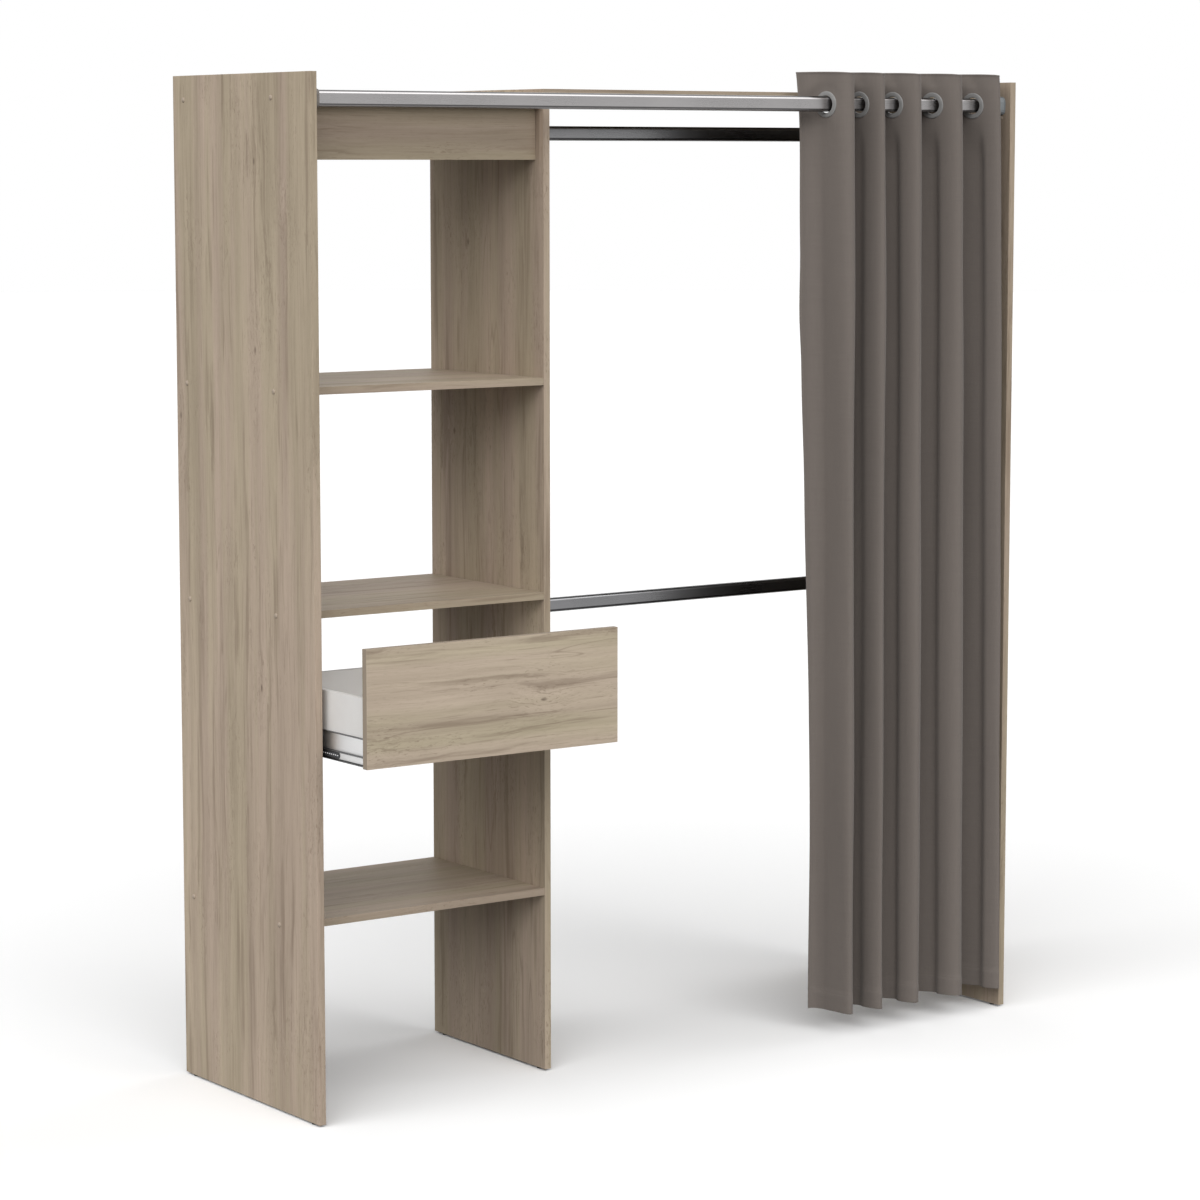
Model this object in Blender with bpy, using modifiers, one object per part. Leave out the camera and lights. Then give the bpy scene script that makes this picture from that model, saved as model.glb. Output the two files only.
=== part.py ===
"""An extendable open wardrobe: a shelf tower, a pull-out hanging side and a curtain.

The shelf tower with its drawer stands at the left.  The side panel at the right is joined to
it by a top board, which slides over the tower, and by three telescoping rods.  A curtain on
ten eyelets hangs from the front rod.

Lengths are in metres.  Places are worked out from the left, the front and the floor of the
rack (x to the right, y to the back, z up).  The function `at` moves them to the model's own
origin: the middle of the floor under the rack, pulled out to its full width, with its drawer
open as far as DRAWER_OPEN says.
"""

import math

import bmesh
import bpy
from mathutils import Euler, Matrix, Vector

# Whole rack
FULL_WIDTH = 1.769
PANEL_DEPTH = 0.527
PANEL_TOP = 2.030
BOARD = 0.015
GAP = 0.0003
OVERRUN = 0.002

# Feet under the panels
FOOT_HEIGHT = 0.004
FOOT_RADIUS = 0.006
FOOT_INSET = 0.030

# Shelf tower
TOWER_WIDTH = 0.623
SHELF_SETBACK = 0.110
TOP_BOARD_DROP = 0.0247
LOWER_SHELF_UNDERSIDE = 0.369
DRAWER_BAY_HEIGHT = 0.595
MIDDLE_BAY_HEIGHT = 0.420
CROSSPIECE_HEIGHT = 0.110
CROSSPIECE_SETBACK = 0.0277

# Curtain rod, at the front
ROD_SETBACK = 0.029
ROD_DROP = 0.050
ROD_DEPTH = 0.020
ROD_HEIGHT = 0.032
ROD_CORNER = 0.0075
ROD_INNER_LENGTH = 0.651
ROD_INNER_SHOWN = 0.4784
TUBE_WALL = 0.001

# Two clothes rails, in the middle of the depth
RAIL_SETBACK = 0.318
UPPER_RAIL_DROP = 0.111
LOWER_RAIL_LEVEL = 0.9365
RAIL_DEPTH = 0.015
RAIL_HEIGHT = 0.030
RAIL_CORNER = 0.007
RAIL_INNER_LENGTH = 0.551
RAIL_INNER_SHOWN = 0.2934

# Sockets that hold the ends of the rod and the rails
SOCKET_PLATE = 0.002
SOCKET_WALL = 0.002
SOCKET_LENGTH = 0.016
SOCKET_FLANGE = 0.0015

# Drawer front and box
DRAWER_OPEN = 0.262
DRAWER_FRONT_HEIGHT = 0.2295
DRAWER_FRONT_GAP = 0.0052
FINGER_GAP = 0.028
DRAWER_WALL = 0.012
DRAWER_SIDE_HEIGHT = 0.1305
DRAWER_SIDE_RISE = 0.0025
DRAWER_BOX_LENGTH = 0.3767
DRAWER_BOTTOM = 0.003
GROOVE_DEPTH = 0.006
GROOVE_RISE = 0.010

# Drawer slides: three nested channels on each side, the innermost with a ball race at its foot
SLIDE_SPACE = 0.0127
SLIDE_HEIGHT = 0.0597
SLIDE_LENGTH = 0.350
SLIDE_SHEET = 0.0012
SLIDE_LEVEL = 0.0303
SLIDE_RACE = 0.018
SLIDE_HEAD_ROOM = 0.0022
CABINET_LIP = 0.0097
MIDDLE_LIP = 0.0078
MIDDLE_SETBACK = 0.030

# Screws through the panels into the ends of the boards
BOARD_SCREW_HEAD_RADIUS = 0.005
BOARD_SCREW_HEAD_HEIGHT = 0.0012
BOARD_SCREW_RADIUS = 0.0025
BOARD_SCREW_LENGTH = 0.050
BOARD_SCREW_FRONT_INSET = 0.035
BOARD_SCREW_REAR_INSET = 0.042

# Curtain, with the room between it and the right panel at its top and at its hem
CURTAIN_WIDTH = 0.512
CURTAIN_ROOM = 0.019
CURTAIN_LOW_WIDTH = 0.476
CURTAIN_LOW_ROOM = 0.009
CURTAIN_FRONT = 0.056
CURTAIN_BACK = 0.041
CURTAIN_HEADING = 0.065
CURTAIN_HEM = 0.050
CLOTH = 0.0024
EYELET_RADIUS = 0.028
EYELET_HOLE_RADIUS = 0.0175
EYELET_THICKNESS = 0.005
EYELET_EDGE = 0.003
EYELET_CUT = 0.016

# Where the folds turn, from the left edge of the gathered curtain to its right edge, as shares
# of its width: first at its top, then at its hem
BACK_FOLD_SHARES = (0.0, 0.227, 0.391, 0.598, 0.824, 1.0)
FRONT_FOLD_SHARES = (0.135, 0.295, 0.486, 0.705, 0.920)
BACK_FOLD_LOW_SHARES = (0.0, 0.18, 0.365, 0.60, 0.86, 1.0)
FRONT_FOLD_LOW_SHARES = (0.084, 0.2595, 0.47, 0.725, 0.967)
# How much a fold widens where it turns, for each stretch of cloth between two turns
TURN_SHARES = (0.60, 0.10, 0.10, 0.10, 0.10, 0.10, 0.05, 0.10, 0.0, 0.10)
# How far the first stretch, next to the free edge, bows to the right
EDGE_BOW = 0.008
# Heights of the rows of cloth, from the top down, as shares of its length, and how fast the
# gathered width of the heading passes into that of the hem
CLOTH_ROW_SHARES = (0.0, 0.07, 0.22, 0.48, 0.74, 1.0)
HANG_SHARE = 0.58

# Steps of the round shapes
ARC_STEPS = 3
SCREW_SIDES = 8
FOOT_SIDES = 12
EYELET_SIDES = 20
FOLD_STEPS = 6

# Places worked out from the sizes above
MIDDLE_Y = (PANEL_DEPTH + SHELF_SETBACK - DRAWER_OPEN) / 2
STRETCHES = [(share, EDGE_BOW if index == 0 else 0) for index, share in enumerate(TURN_SHARES)]
TOP_BOARD_TOP = PANEL_TOP - TOP_BOARD_DROP
TOWER_TOP = TOP_BOARD_TOP - BOARD - GAP
BAY_LEFT = BOARD
BAY_RIGHT = TOWER_WIDTH - BOARD
RIGHT_FACE = FULL_WIDTH - BOARD
LOWER_SHELF_TOP = LOWER_SHELF_UNDERSIDE + BOARD
MIDDLE_SHELF_UNDERSIDE = LOWER_SHELF_TOP + DRAWER_BAY_HEIGHT
UPPER_SHELF_UNDERSIDE = MIDDLE_SHELF_UNDERSIDE + BOARD + MIDDLE_BAY_HEIGHT
TOWER_TOP_UNDERSIDE = TOWER_TOP - BOARD
SHELF_UNDERSIDES = {
    "lower_shelf": LOWER_SHELF_UNDERSIDE,
    "middle_shelf": MIDDLE_SHELF_UNDERSIDE,
    "upper_shelf": UPPER_SHELF_UNDERSIDE,
    "tower_top_board": TOWER_TOP_UNDERSIDE,
}
BOARD_SCREW_PLACES = (
    SHELF_SETBACK + BOARD_SCREW_FRONT_INSET,
    PANEL_DEPTH - BOARD_SCREW_REAR_INSET,
)
CROSSPIECE_Y = SHELF_SETBACK + CROSSPIECE_SETBACK
ROD_LEVEL = PANEL_TOP - ROD_DROP
UPPER_RAIL_LEVEL = PANEL_TOP - UPPER_RAIL_DROP
CURTAIN_LEFT = RIGHT_FACE - CURTAIN_ROOM - CURTAIN_WIDTH
CURTAIN_LOW_LEFT = RIGHT_FACE - CURTAIN_LOW_ROOM - CURTAIN_LOW_WIDTH
DRAWER_TOP = MIDDLE_SHELF_UNDERSIDE - FINGER_GAP
DRAWER_LOW = DRAWER_TOP - DRAWER_FRONT_HEIGHT
DRAWER_Y = SHELF_SETBACK - DRAWER_OPEN
BOX_FRONT = DRAWER_Y + BOARD + GAP
BOX_BACK = BOX_FRONT + DRAWER_BOX_LENGTH
BOX_LOW = DRAWER_LOW + DRAWER_SIDE_RISE
BOX_TOP = BOX_LOW + DRAWER_SIDE_HEIGHT
GROOVE_LOW = BOX_LOW + GROOVE_RISE
SLIDE_CENTRE = DRAWER_LOW + SLIDE_LEVEL
SLIDE_SHUT_Y = SHELF_SETBACK + BOARD + GAP

ROD_SECTION = (ROD_DEPTH, ROD_HEIGHT, ROD_CORNER)
RAIL_SECTION = (RAIL_DEPTH, RAIL_HEIGHT, RAIL_CORNER)

# A length laid along the rack, and one laid from its front to its back
ALONG_X = (math.pi / 2, 0, math.pi / 2)
ALONG_Y = (math.pi / 2, 0, 0)


def at(x, y, z):
    """A point of the rack, given from its left, front and floor, in the model's own frame."""
    return Vector((x - FULL_WIDTH / 2, y - MIDDLE_Y, z))


def clear_scene():
    """Start from an empty scene."""
    for item in list(bpy.data.objects):
        bpy.data.objects.remove(item, do_unlink=True)


def new_collection(name):
    """A collection in the scene."""
    collection = bpy.data.collections.new(name)
    bpy.context.scene.collection.children.link(collection)
    return collection


def new_material(name, colour, roughness, metallic=0.0):
    """A Principled BSDF material of one colour."""
    material = bpy.data.materials.new(name)
    material.use_nodes = True
    shader = material.node_tree.nodes["Principled BSDF"]
    shader.inputs["Base Color"].default_value = (*colour, 1.0)
    shader.inputs["Roughness"].default_value = roughness
    shader.inputs["Metallic"].default_value = metallic
    return material


def finished_mesh(name, bm):
    """The mesh of an edited shape, with its faces pointing out."""
    bmesh.ops.recalc_face_normals(bm, faces=bm.faces)
    mesh = bpy.data.meshes.new(name)
    bm.to_mesh(mesh)
    bm.free()
    return mesh


def welded_mesh(name, source):
    """The mesh of an object with its modifiers, its loose caps joined to its sides."""
    graph = bpy.context.evaluated_depsgraph_get()
    raw = bpy.data.meshes.new_from_object(source.evaluated_get(graph))
    bm = bmesh.new()
    bm.from_mesh(raw)
    bmesh.ops.remove_doubles(bm, verts=bm.verts, dist=GAP / 10)
    bpy.data.meshes.remove(raw)
    return finished_mesh(name, bm)


def box_mesh(name, size):
    """A box of the given size round its own middle."""
    bm = bmesh.new()
    bmesh.ops.create_cube(bm, size=1)
    bmesh.ops.scale(bm, vec=size, verts=bm.verts)
    return finished_mesh(name, bm)


def outline_mesh(name, outlines, length):
    """A straight bar with a flat outline as its section; a second outline is its bore."""
    curve = bpy.data.curves.new(name, "CURVE")
    curve.dimensions = "2D"
    curve.fill_mode = "BOTH"
    curve.extrude = length / 2
    for points in outlines:
        spline = curve.splines.new("POLY")
        spline.points.add(len(points) - 1)
        for spot, (u, v) in zip(spline.points, points):
            spot.co = (u, v, 0, 1)
        spline.use_cyclic_u = True
    holder = bpy.data.objects.new(name, curve)
    bpy.context.scene.collection.objects.link(holder)
    mesh = welded_mesh(name, holder)
    bpy.data.objects.remove(holder, do_unlink=True)
    bpy.data.curves.remove(curve)
    return mesh


def turned_mesh(name, profile, sides, closed=False):
    """A profile of (radius, height) points, top to bottom, turned round the Z axis."""
    edges = [(i, i + 1) for i in range(len(profile) - 1)]
    if closed:
        edges.append((len(profile) - 1, 0))
    line = bpy.data.meshes.new(name + "_profile")
    line.from_pydata([(radius, 0, height) for radius, height in profile], edges, [])
    holder = bpy.data.objects.new(name, line)
    bpy.context.scene.collection.objects.link(holder)
    turn = holder.modifiers.new("Turn", "SCREW")
    turn.steps = sides
    turn.render_steps = sides
    turn.use_merge_vertices = True
    turn.merge_threshold = GAP / 10
    mesh = welded_mesh(name, holder)
    bpy.data.objects.remove(holder, do_unlink=True)
    bpy.data.meshes.remove(line)
    return mesh


def group_mesh(name, mesh, matrices):
    """The mesh of a cutter made of several copies of one shape, each in its own place."""
    bm = bmesh.new()
    for matrix in matrices:
        copy = mesh.copy()
        copy.transform(matrix)
        bm.from_mesh(copy)
        bpy.data.meshes.remove(copy)
    return finished_mesh(name, bm)


def rounded_rectangle(width, height, corner):
    """The points of a rectangle with round corners, round its own middle."""
    points = []
    for quarter, (side, rise) in enumerate(((1, 1), (-1, 1), (-1, -1), (1, -1))):
        for step in range(ARC_STEPS + 1):
            angle = (quarter + step / ARC_STEPS) * math.pi / 2
            u = side * (width / 2 - corner) + corner * math.cos(angle)
            v = rise * (height / 2 - corner) + corner * math.sin(angle)
            points.append((u, v))
    return points


def inset(section, by):
    """A rounded section with its outline moved in, or out where the number is negative."""
    depth, height, corner = section
    return (depth - 2 * by, height - 2 * by, corner - by)


def new_body(name, point, carrier=None):
    """An empty that carries the pieces of one body, set on the line that the body slides on."""
    body = bpy.data.objects.new(name, None)
    PIECES.objects.link(body)
    PLACES[body.name] = at(*point)
    body.location = PLACES[body.name]
    if carrier:
        body.parent = carrier
        body.location -= PLACES[carrier.name]
    return body


def piece(name, mesh, point, material, body, rotation=(0, 0, 0)):
    """One piece of the rack, carried by its body."""
    item = bpy.data.objects.new(name, mesh)
    PIECES.objects.link(item)
    item.data.materials.append(material)
    item.parent = body
    item.location = at(*point) - PLACES[body.name]
    item.rotation_euler = rotation
    return item


def cutter(name, mesh, point, rotation=(0, 0, 0)):
    """A guide shape that cuts or extends a piece, and is no piece itself."""
    item = bpy.data.objects.new(name, mesh)
    CUTTERS.objects.link(item)
    item.location = at(*point)
    item.rotation_euler = rotation
    item.hide_render = True
    item.display_type = "WIRE"
    return item


def combine(item, operand, operation="DIFFERENCE"):
    """Cut a piece with a guide shape, or join the guide shape to it."""
    step = item.modifiers.new(operand.name, "BOOLEAN")
    step.solver = "EXACT"
    step.operation = operation
    step.object = operand


def board(name, low, high, material, body):
    """A board between its left, front, low corner and its right, back, high corner."""
    low, high = Vector(low), Vector(high)
    return piece(name, box_mesh(name, high - low), (low + high) / 2, material, body)


def box_cutter(name, low, high):
    """A box that cuts away what lies between two corners."""
    low, high = Vector(low), Vector(high)
    return cutter(name, box_mesh(name, high - low), (low + high) / 2)


def screw_profile():
    """The turned shape of a board screw whose head rests on the plane z = 0 and points up."""
    chamfer = BOARD_SCREW_HEAD_HEIGHT / 2
    return [
        (0, GAP + BOARD_SCREW_HEAD_HEIGHT),
        (BOARD_SCREW_HEAD_RADIUS - chamfer, GAP + BOARD_SCREW_HEAD_HEIGHT),
        (BOARD_SCREW_HEAD_RADIUS, GAP + BOARD_SCREW_HEAD_HEIGHT - chamfer),
        (BOARD_SCREW_HEAD_RADIUS, GAP),
        (BOARD_SCREW_RADIUS, GAP),
        (BOARD_SCREW_RADIUS, -BOARD_SCREW_LENGTH),
        (0, -BOARD_SCREW_LENGTH),
    ]


def screws(name, seats, direction, body):
    """Screws with their heads on the seats, each its own piece, and the cutter for their holes.

    The direction is +1 or -1 along X: the way in which the screws are driven.
    """
    mesh = turned_mesh(name, screw_profile(), SCREW_SIDES)
    turn = (0, -direction * math.pi / 2, 0)
    for number, seat in enumerate(seats, start=1):
        piece(f"{name}_{number}", mesh, seat, SCREW_PAINT, body, turn)
    radius = BOARD_SCREW_RADIUS + GAP
    depth = BOARD_SCREW_LENGTH + GAP
    hole = [(0, OVERRUN), (radius, OVERRUN), (radius, -depth), (0, -depth)]
    rotation = Matrix.Rotation(-direction * math.pi / 2, 4, "Y")
    places = [Matrix.Translation(at(*seat) - at(0, 0, 0)) @ rotation for seat in seats]
    holes = group_mesh(name + "_holes", turned_mesh(name + "_hole", hole, SCREW_SIDES), places)
    return cutter(name + "_holes", holes, (0, 0, 0))


def drill(items, holes):
    """Make the screw holes in every piece that the screws pass."""
    for item in items:
        combine(item, holes)


def foot(name, x, y, body):
    """A small round glide under a panel."""
    height = FOOT_HEIGHT - GAP
    bm = bmesh.new()
    bmesh.ops.create_cone(
        bm, cap_ends=True, segments=FOOT_SIDES, radius1=FOOT_RADIUS, radius2=FOOT_RADIUS,
        depth=height,
    )
    return piece(name, finished_mesh(name, bm), (x, y, height / 2), BLACK_PLASTIC, body)


def tube(name, section, left, length, y, level, material, body):
    """A thin-walled tube of a rounded section, open at both ends, lying along the rack."""
    outlines = [rounded_rectangle(*section), rounded_rectangle(*inset(section, TUBE_WALL))]
    mesh = outline_mesh(name, outlines, length)
    return piece(name, mesh, (left + length / 2, y, level), material, body, ALONG_X)


def socket(name, face, side, outer, held, y, level, body):
    """A cup on a thin plate, which takes a tube's end; side is +1 on a left face.

    The outer section is that of the widest tube of the pair, and the held one that of the tube
    which sits in this cup.
    """
    cup = inset(outer, -GAP - SOCKET_WALL)
    plate_outline = rounded_rectangle(*inset(cup, -SOCKET_FLANGE))
    plate_mesh = outline_mesh(name, [plate_outline], SOCKET_PLATE)
    plate_x = face + side * (GAP + SOCKET_PLATE / 2)
    item = piece(name, plate_mesh, (plate_x, y, level), SOCKET_GREY, body, ALONG_X)

    cup_length = SOCKET_LENGTH - SOCKET_PLATE / 2
    cup_mesh = outline_mesh(name + "_cup", [rounded_rectangle(*cup)], cup_length)
    cup_x = plate_x + side * cup_length / 2
    combine(item, cutter(name + "_cup", cup_mesh, (cup_x, y, level), ALONG_X), "UNION")

    bore_length = SOCKET_LENGTH - SOCKET_PLATE + OVERRUN
    bore_outline = rounded_rectangle(*inset(held, -GAP))
    bore_mesh = outline_mesh(name + "_bore", [bore_outline], bore_length)
    bore_x = face + side * (GAP + SOCKET_PLATE + bore_length / 2)
    combine(item, cutter(name + "_bore", bore_mesh, (bore_x, y, level), ALONG_X))


def build_tower(body):
    """The two panels of the tower with its shelves, top, crosspiece, screws and feet."""
    low = FOOT_HEIGHT
    left = board("left_side_panel", (0, 0, low), (BOARD, PANEL_DEPTH, PANEL_TOP), WOOD, body)
    board(
        "middle_panel", (BAY_RIGHT, SHELF_SETBACK, low), (TOWER_WIDTH, PANEL_DEPTH, TOWER_TOP),
        WOOD, body,
    )
    across = []
    seats = []
    for name, underside in SHELF_UNDERSIDES.items():
        across.append(board(
            name, (BAY_LEFT + GAP, SHELF_SETBACK, underside),
            (BAY_RIGHT - GAP, PANEL_DEPTH, underside + BOARD), WOOD_ACROSS, body,
        ))
        for y in BOARD_SCREW_PLACES:
            seats.append((0, y, underside + BOARD / 2))
    drill([left] + across, screws("left_panel_screw", seats, 1, body))
    crosspiece_top = TOWER_TOP_UNDERSIDE - GAP
    board(
        "crosspiece", (BAY_LEFT + GAP, CROSSPIECE_Y, crosspiece_top - CROSSPIECE_HEIGHT),
        (BAY_RIGHT - GAP, CROSSPIECE_Y + BOARD, crosspiece_top), WOOD_ACROSS, body,
    )
    foot("left_panel_front_foot", BOARD / 2, FOOT_INSET, body)
    foot("left_panel_rear_foot", BOARD / 2, PANEL_DEPTH - FOOT_INSET, body)
    middle_x = TOWER_WIDTH - BOARD / 2
    foot("middle_panel_front_foot", middle_x, SHELF_SETBACK + FOOT_INSET, body)
    foot("middle_panel_rear_foot", middle_x, PANEL_DEPTH - FOOT_INSET, body)


def build_right_side(body):
    """The right side panel with the top board that slides over the tower."""
    panel = board(
        "right_side_panel", (RIGHT_FACE, 0, FOOT_HEIGHT), (FULL_WIDTH, PANEL_DEPTH, PANEL_TOP),
        WOOD, body,
    )
    top = board(
        "top_board", (BAY_RIGHT, SHELF_SETBACK, TOP_BOARD_TOP - BOARD),
        (RIGHT_FACE - GAP, PANEL_DEPTH, TOP_BOARD_TOP), WOOD_ACROSS, body,
    )
    seats = [(FULL_WIDTH, y, TOP_BOARD_TOP - BOARD / 2) for y in BOARD_SCREW_PLACES]
    drill([panel, top], screws("right_panel_screw", seats, -1, body))
    foot("right_panel_front_foot", FULL_WIDTH - BOARD / 2, FOOT_INSET, body)
    foot("right_panel_rear_foot", FULL_WIDTH - BOARD / 2, PANEL_DEPTH - FOOT_INSET, body)


def build_rods(tower, right):
    """The curtain rod and the two clothes rails, each an inner tube in an outer tube."""
    seat = GAP + SOCKET_PLATE + GAP
    rods = (
        ("curtain_rod", ROD_SECTION, BOARD, ROD_INNER_SHOWN, ROD_INNER_LENGTH,
         ROD_SETBACK, ROD_LEVEL, GREY_TUBE),
        ("upper_rail", RAIL_SECTION, TOWER_WIDTH, RAIL_INNER_SHOWN, RAIL_INNER_LENGTH,
         RAIL_SETBACK, UPPER_RAIL_LEVEL, CHROME),
        ("lower_rail", RAIL_SECTION, TOWER_WIDTH, RAIL_INNER_SHOWN, RAIL_INNER_LENGTH,
         RAIL_SETBACK, LOWER_RAIL_LEVEL, CHROME),
    )
    for name, section, face, inner_shown, inner_length, y, level, metal in rods:
        inner = inset(section, TUBE_WALL + GAP)
        inner_left = RIGHT_FACE - seat - inner_length
        outer_length = RIGHT_FACE - inner_shown - face - seat
        tube(name + "_outer_tube", section, face + seat, outer_length, y, level, metal, tower)
        tube(name + "_inner_tube", inner, inner_left, inner_length, y, level, metal, right)
        socket(name + "_left_socket", face, 1, section, section, y, level, tower)
        socket(name + "_right_socket", RIGHT_FACE, -1, section, inner, y, level, right)


def channel_outline(web, tip, height, race):
    """The outline of a folded channel: its web at one x, its lips reaching to another.

    A race is the height of a third lip above the foot of the channel; with zero it has none.
    """
    inner = web + math.copysign(SLIDE_SHEET, tip - web)
    top = height / 2
    foot = [(web, -top), (tip, -top), (tip, SLIDE_SHEET - top), (inner, SLIDE_SHEET - top)]
    ledge = []
    if race:
        high = race - top
        low = high - SLIDE_SHEET
        ledge = [(inner, low), (tip, low), (tip, high), (inner, high)]
    head = [(inner, top - SLIDE_SHEET), (tip, top - SLIDE_SHEET), (tip, top), (web, top)]
    return foot + ledge + head


def channel(name, side, web, tip, height, race, face, front, length, body):
    """One member of a slide; web and tip are measured from the panel's face into the bay."""
    outline = channel_outline(side * web, side * tip, height, race)
    mesh = outline_mesh(name, [outline], length)
    centre = (face, front + length / 2, SLIDE_CENTRE)
    return piece(name, mesh, centre, SLIDE_METAL, body, ALONG_Y)


def build_slides(tower, drawer, carriers):
    """Two telescopic slides, each of a cabinet, a middle and a drawer member."""
    middle_height = SLIDE_HEIGHT - 2 * SLIDE_SHEET - 2 * GAP
    drawer_height = middle_height - 2 * SLIDE_SHEET - 2 * GAP
    cabinet_web = GAP
    middle_web = cabinet_web + SLIDE_SHEET + SLIDE_HEAD_ROOM
    drawer_web = SLIDE_SPACE - GAP
    drawer_tip = middle_web + SLIDE_SHEET + GAP
    shut = SLIDE_SHUT_Y
    middle_shut = shut + MIDDLE_SETBACK
    middle_length = SLIDE_LENGTH - MIDDLE_SETBACK
    for which, face, side in (("left", BAY_LEFT, 1), ("right", BAY_RIGHT, -1)):
        name = "slide_" + which
        channel(name + "_cabinet_member", side, cabinet_web, cabinet_web + CABINET_LIP,
                SLIDE_HEIGHT, 0, face, shut, SLIDE_LENGTH, tower)
        channel(name + "_middle_member", side, middle_web, middle_web + MIDDLE_LIP,
                middle_height, 0, face, middle_shut - DRAWER_OPEN / 2, middle_length,
                carriers[which])
        channel(name + "_drawer_member", side, drawer_web, drawer_tip,
                drawer_height, SLIDE_RACE, face, shut - DRAWER_OPEN, SLIDE_LENGTH, drawer)


def build_drawer(body):
    """The drawer front and its box, with a thin bottom held in grooves."""
    outer_left = BAY_LEFT + SLIDE_SPACE
    outer_right = BAY_RIGHT - SLIDE_SPACE
    inner_left = outer_left + DRAWER_WALL
    inner_right = outer_right - DRAWER_WALL
    groove_top = GROOVE_LOW + DRAWER_BOTTOM + 2 * GAP
    front = board(
        "drawer_front", (BAY_LEFT + DRAWER_FRONT_GAP, DRAWER_Y, DRAWER_LOW),
        (BAY_RIGHT - DRAWER_FRONT_GAP, DRAWER_Y + BOARD, DRAWER_TOP), WOOD_ACROSS, body,
    )
    left = board(
        "drawer_left_side", (outer_left, BOX_FRONT, BOX_LOW), (inner_left, BOX_BACK, BOX_TOP),
        WHITE_BOARD, body,
    )
    right = board(
        "drawer_right_side", (inner_right, BOX_FRONT, BOX_LOW), (outer_right, BOX_BACK, BOX_TOP),
        WHITE_BOARD, body,
    )
    board(
        "drawer_back", (inner_left + GAP, BOX_BACK - DRAWER_WALL, groove_top),
        (inner_right - GAP, BOX_BACK, BOX_TOP), WHITE_BOARD, body,
    )
    board(
        "drawer_bottom",
        (inner_left - GROOVE_DEPTH, BOX_FRONT - GROOVE_DEPTH, GROOVE_LOW + GAP),
        (inner_right + GROOVE_DEPTH, BOX_BACK, GROOVE_LOW + GAP + DRAWER_BOTTOM),
        WHITE_BOARD, body,
    )
    groove = box_cutter(
        "drawer_bottom_groove",
        (inner_left - GROOVE_DEPTH - GAP, BOX_FRONT - GROOVE_DEPTH - GAP, GROOVE_LOW),
        (inner_right + GROOVE_DEPTH + GAP, BOX_BACK + OVERRUN, groove_top),
    )
    for item in (front, left, right):
        combine(item, groove)


def fold_turns(share):
    """The turns of the cloth as (x, y) points at one share of its drop, left to right."""
    ease = share ** HANG_SHARE
    left = CURTAIN_LEFT + (CURTAIN_LOW_LEFT - CURTAIN_LEFT) * ease
    width = CURTAIN_WIDTH + (CURTAIN_LOW_WIDTH - CURTAIN_WIDTH) * ease
    backs = [a + (b - a) * ease for a, b in zip(BACK_FOLD_SHARES, BACK_FOLD_LOW_SHARES)]
    fronts = [a + (b - a) * ease for a, b in zip(FRONT_FOLD_SHARES, FRONT_FOLD_LOW_SHARES)]
    turns = []
    for number, back in enumerate(backs):
        turns.append((left + width * back, ROD_SETBACK + CURTAIN_BACK))
        if number < len(fronts):
            turns.append((left + width * fronts[number], ROD_SETBACK - CURTAIN_FRONT))
    return turns


def fold_point(start, end, stretch, along):
    """A point of the cloth on its way from one turn to the next; along runs from 0 to 1."""
    roundness, bow = stretch
    swing = (1 - math.cos(math.pi * along)) / 2
    drift = along + roundness * math.sin(2 * math.pi * along) / (2 * math.pi)
    x = start[0] + (end[0] - start[0]) * drift + bow * math.sin(math.pi * along)
    return (x, start[1] + (end[1] - start[1]) * swing)


def fold_line(share):
    """The plan of the folded cloth at one share of its drop."""
    turns = fold_turns(share)
    points = [turns[0]]
    for start, end, stretch in zip(turns, turns[1:], STRETCHES):
        for step in range(1, FOLD_STEPS + 1):
            points.append(fold_point(start, end, stretch, step / FOLD_STEPS))
    return points


def rod_crossings(drop_share):
    """Where the cloth crosses the rod, and how far the cloth's face is turned there from X."""
    turns = fold_turns(drop_share)
    crossings = []
    for start, end, stretch in zip(turns, turns[1:], STRETCHES):
        roundness, bow = stretch
        side = 1 if end[1] < start[1] else -1
        level = (ROD_SETBACK - start[1]) / (end[1] - start[1])
        along = math.acos(1 - 2 * level) / math.pi
        x, y = fold_point(start, end, stretch, along)
        rise = (end[1] - start[1]) * math.pi * math.sin(math.pi * along) / 2
        run = (end[0] - start[0]) * (1 + roundness * math.cos(2 * math.pi * along))
        run += bow * math.pi * math.cos(math.pi * along)
        crossings.append((x, y, side * math.atan2(run, abs(rise))))
    return crossings


def eyelet_drop(angle):
    """How far an eyelet's middle hangs below the rod's middle, turned by an angle on the rod."""
    hole = EYELET_HOLE_RADIUS * math.cos(math.pi / EYELET_SIDES)
    reach = hole * math.cos(angle) - EYELET_THICKNESS / 2 * math.sin(abs(angle))
    room = [
        hole * math.sqrt(1 - (u / reach) ** 2) - v
        for u, v in rounded_rectangle(*ROD_SECTION) if v > 0
    ]
    return min(room) - GAP


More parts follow.
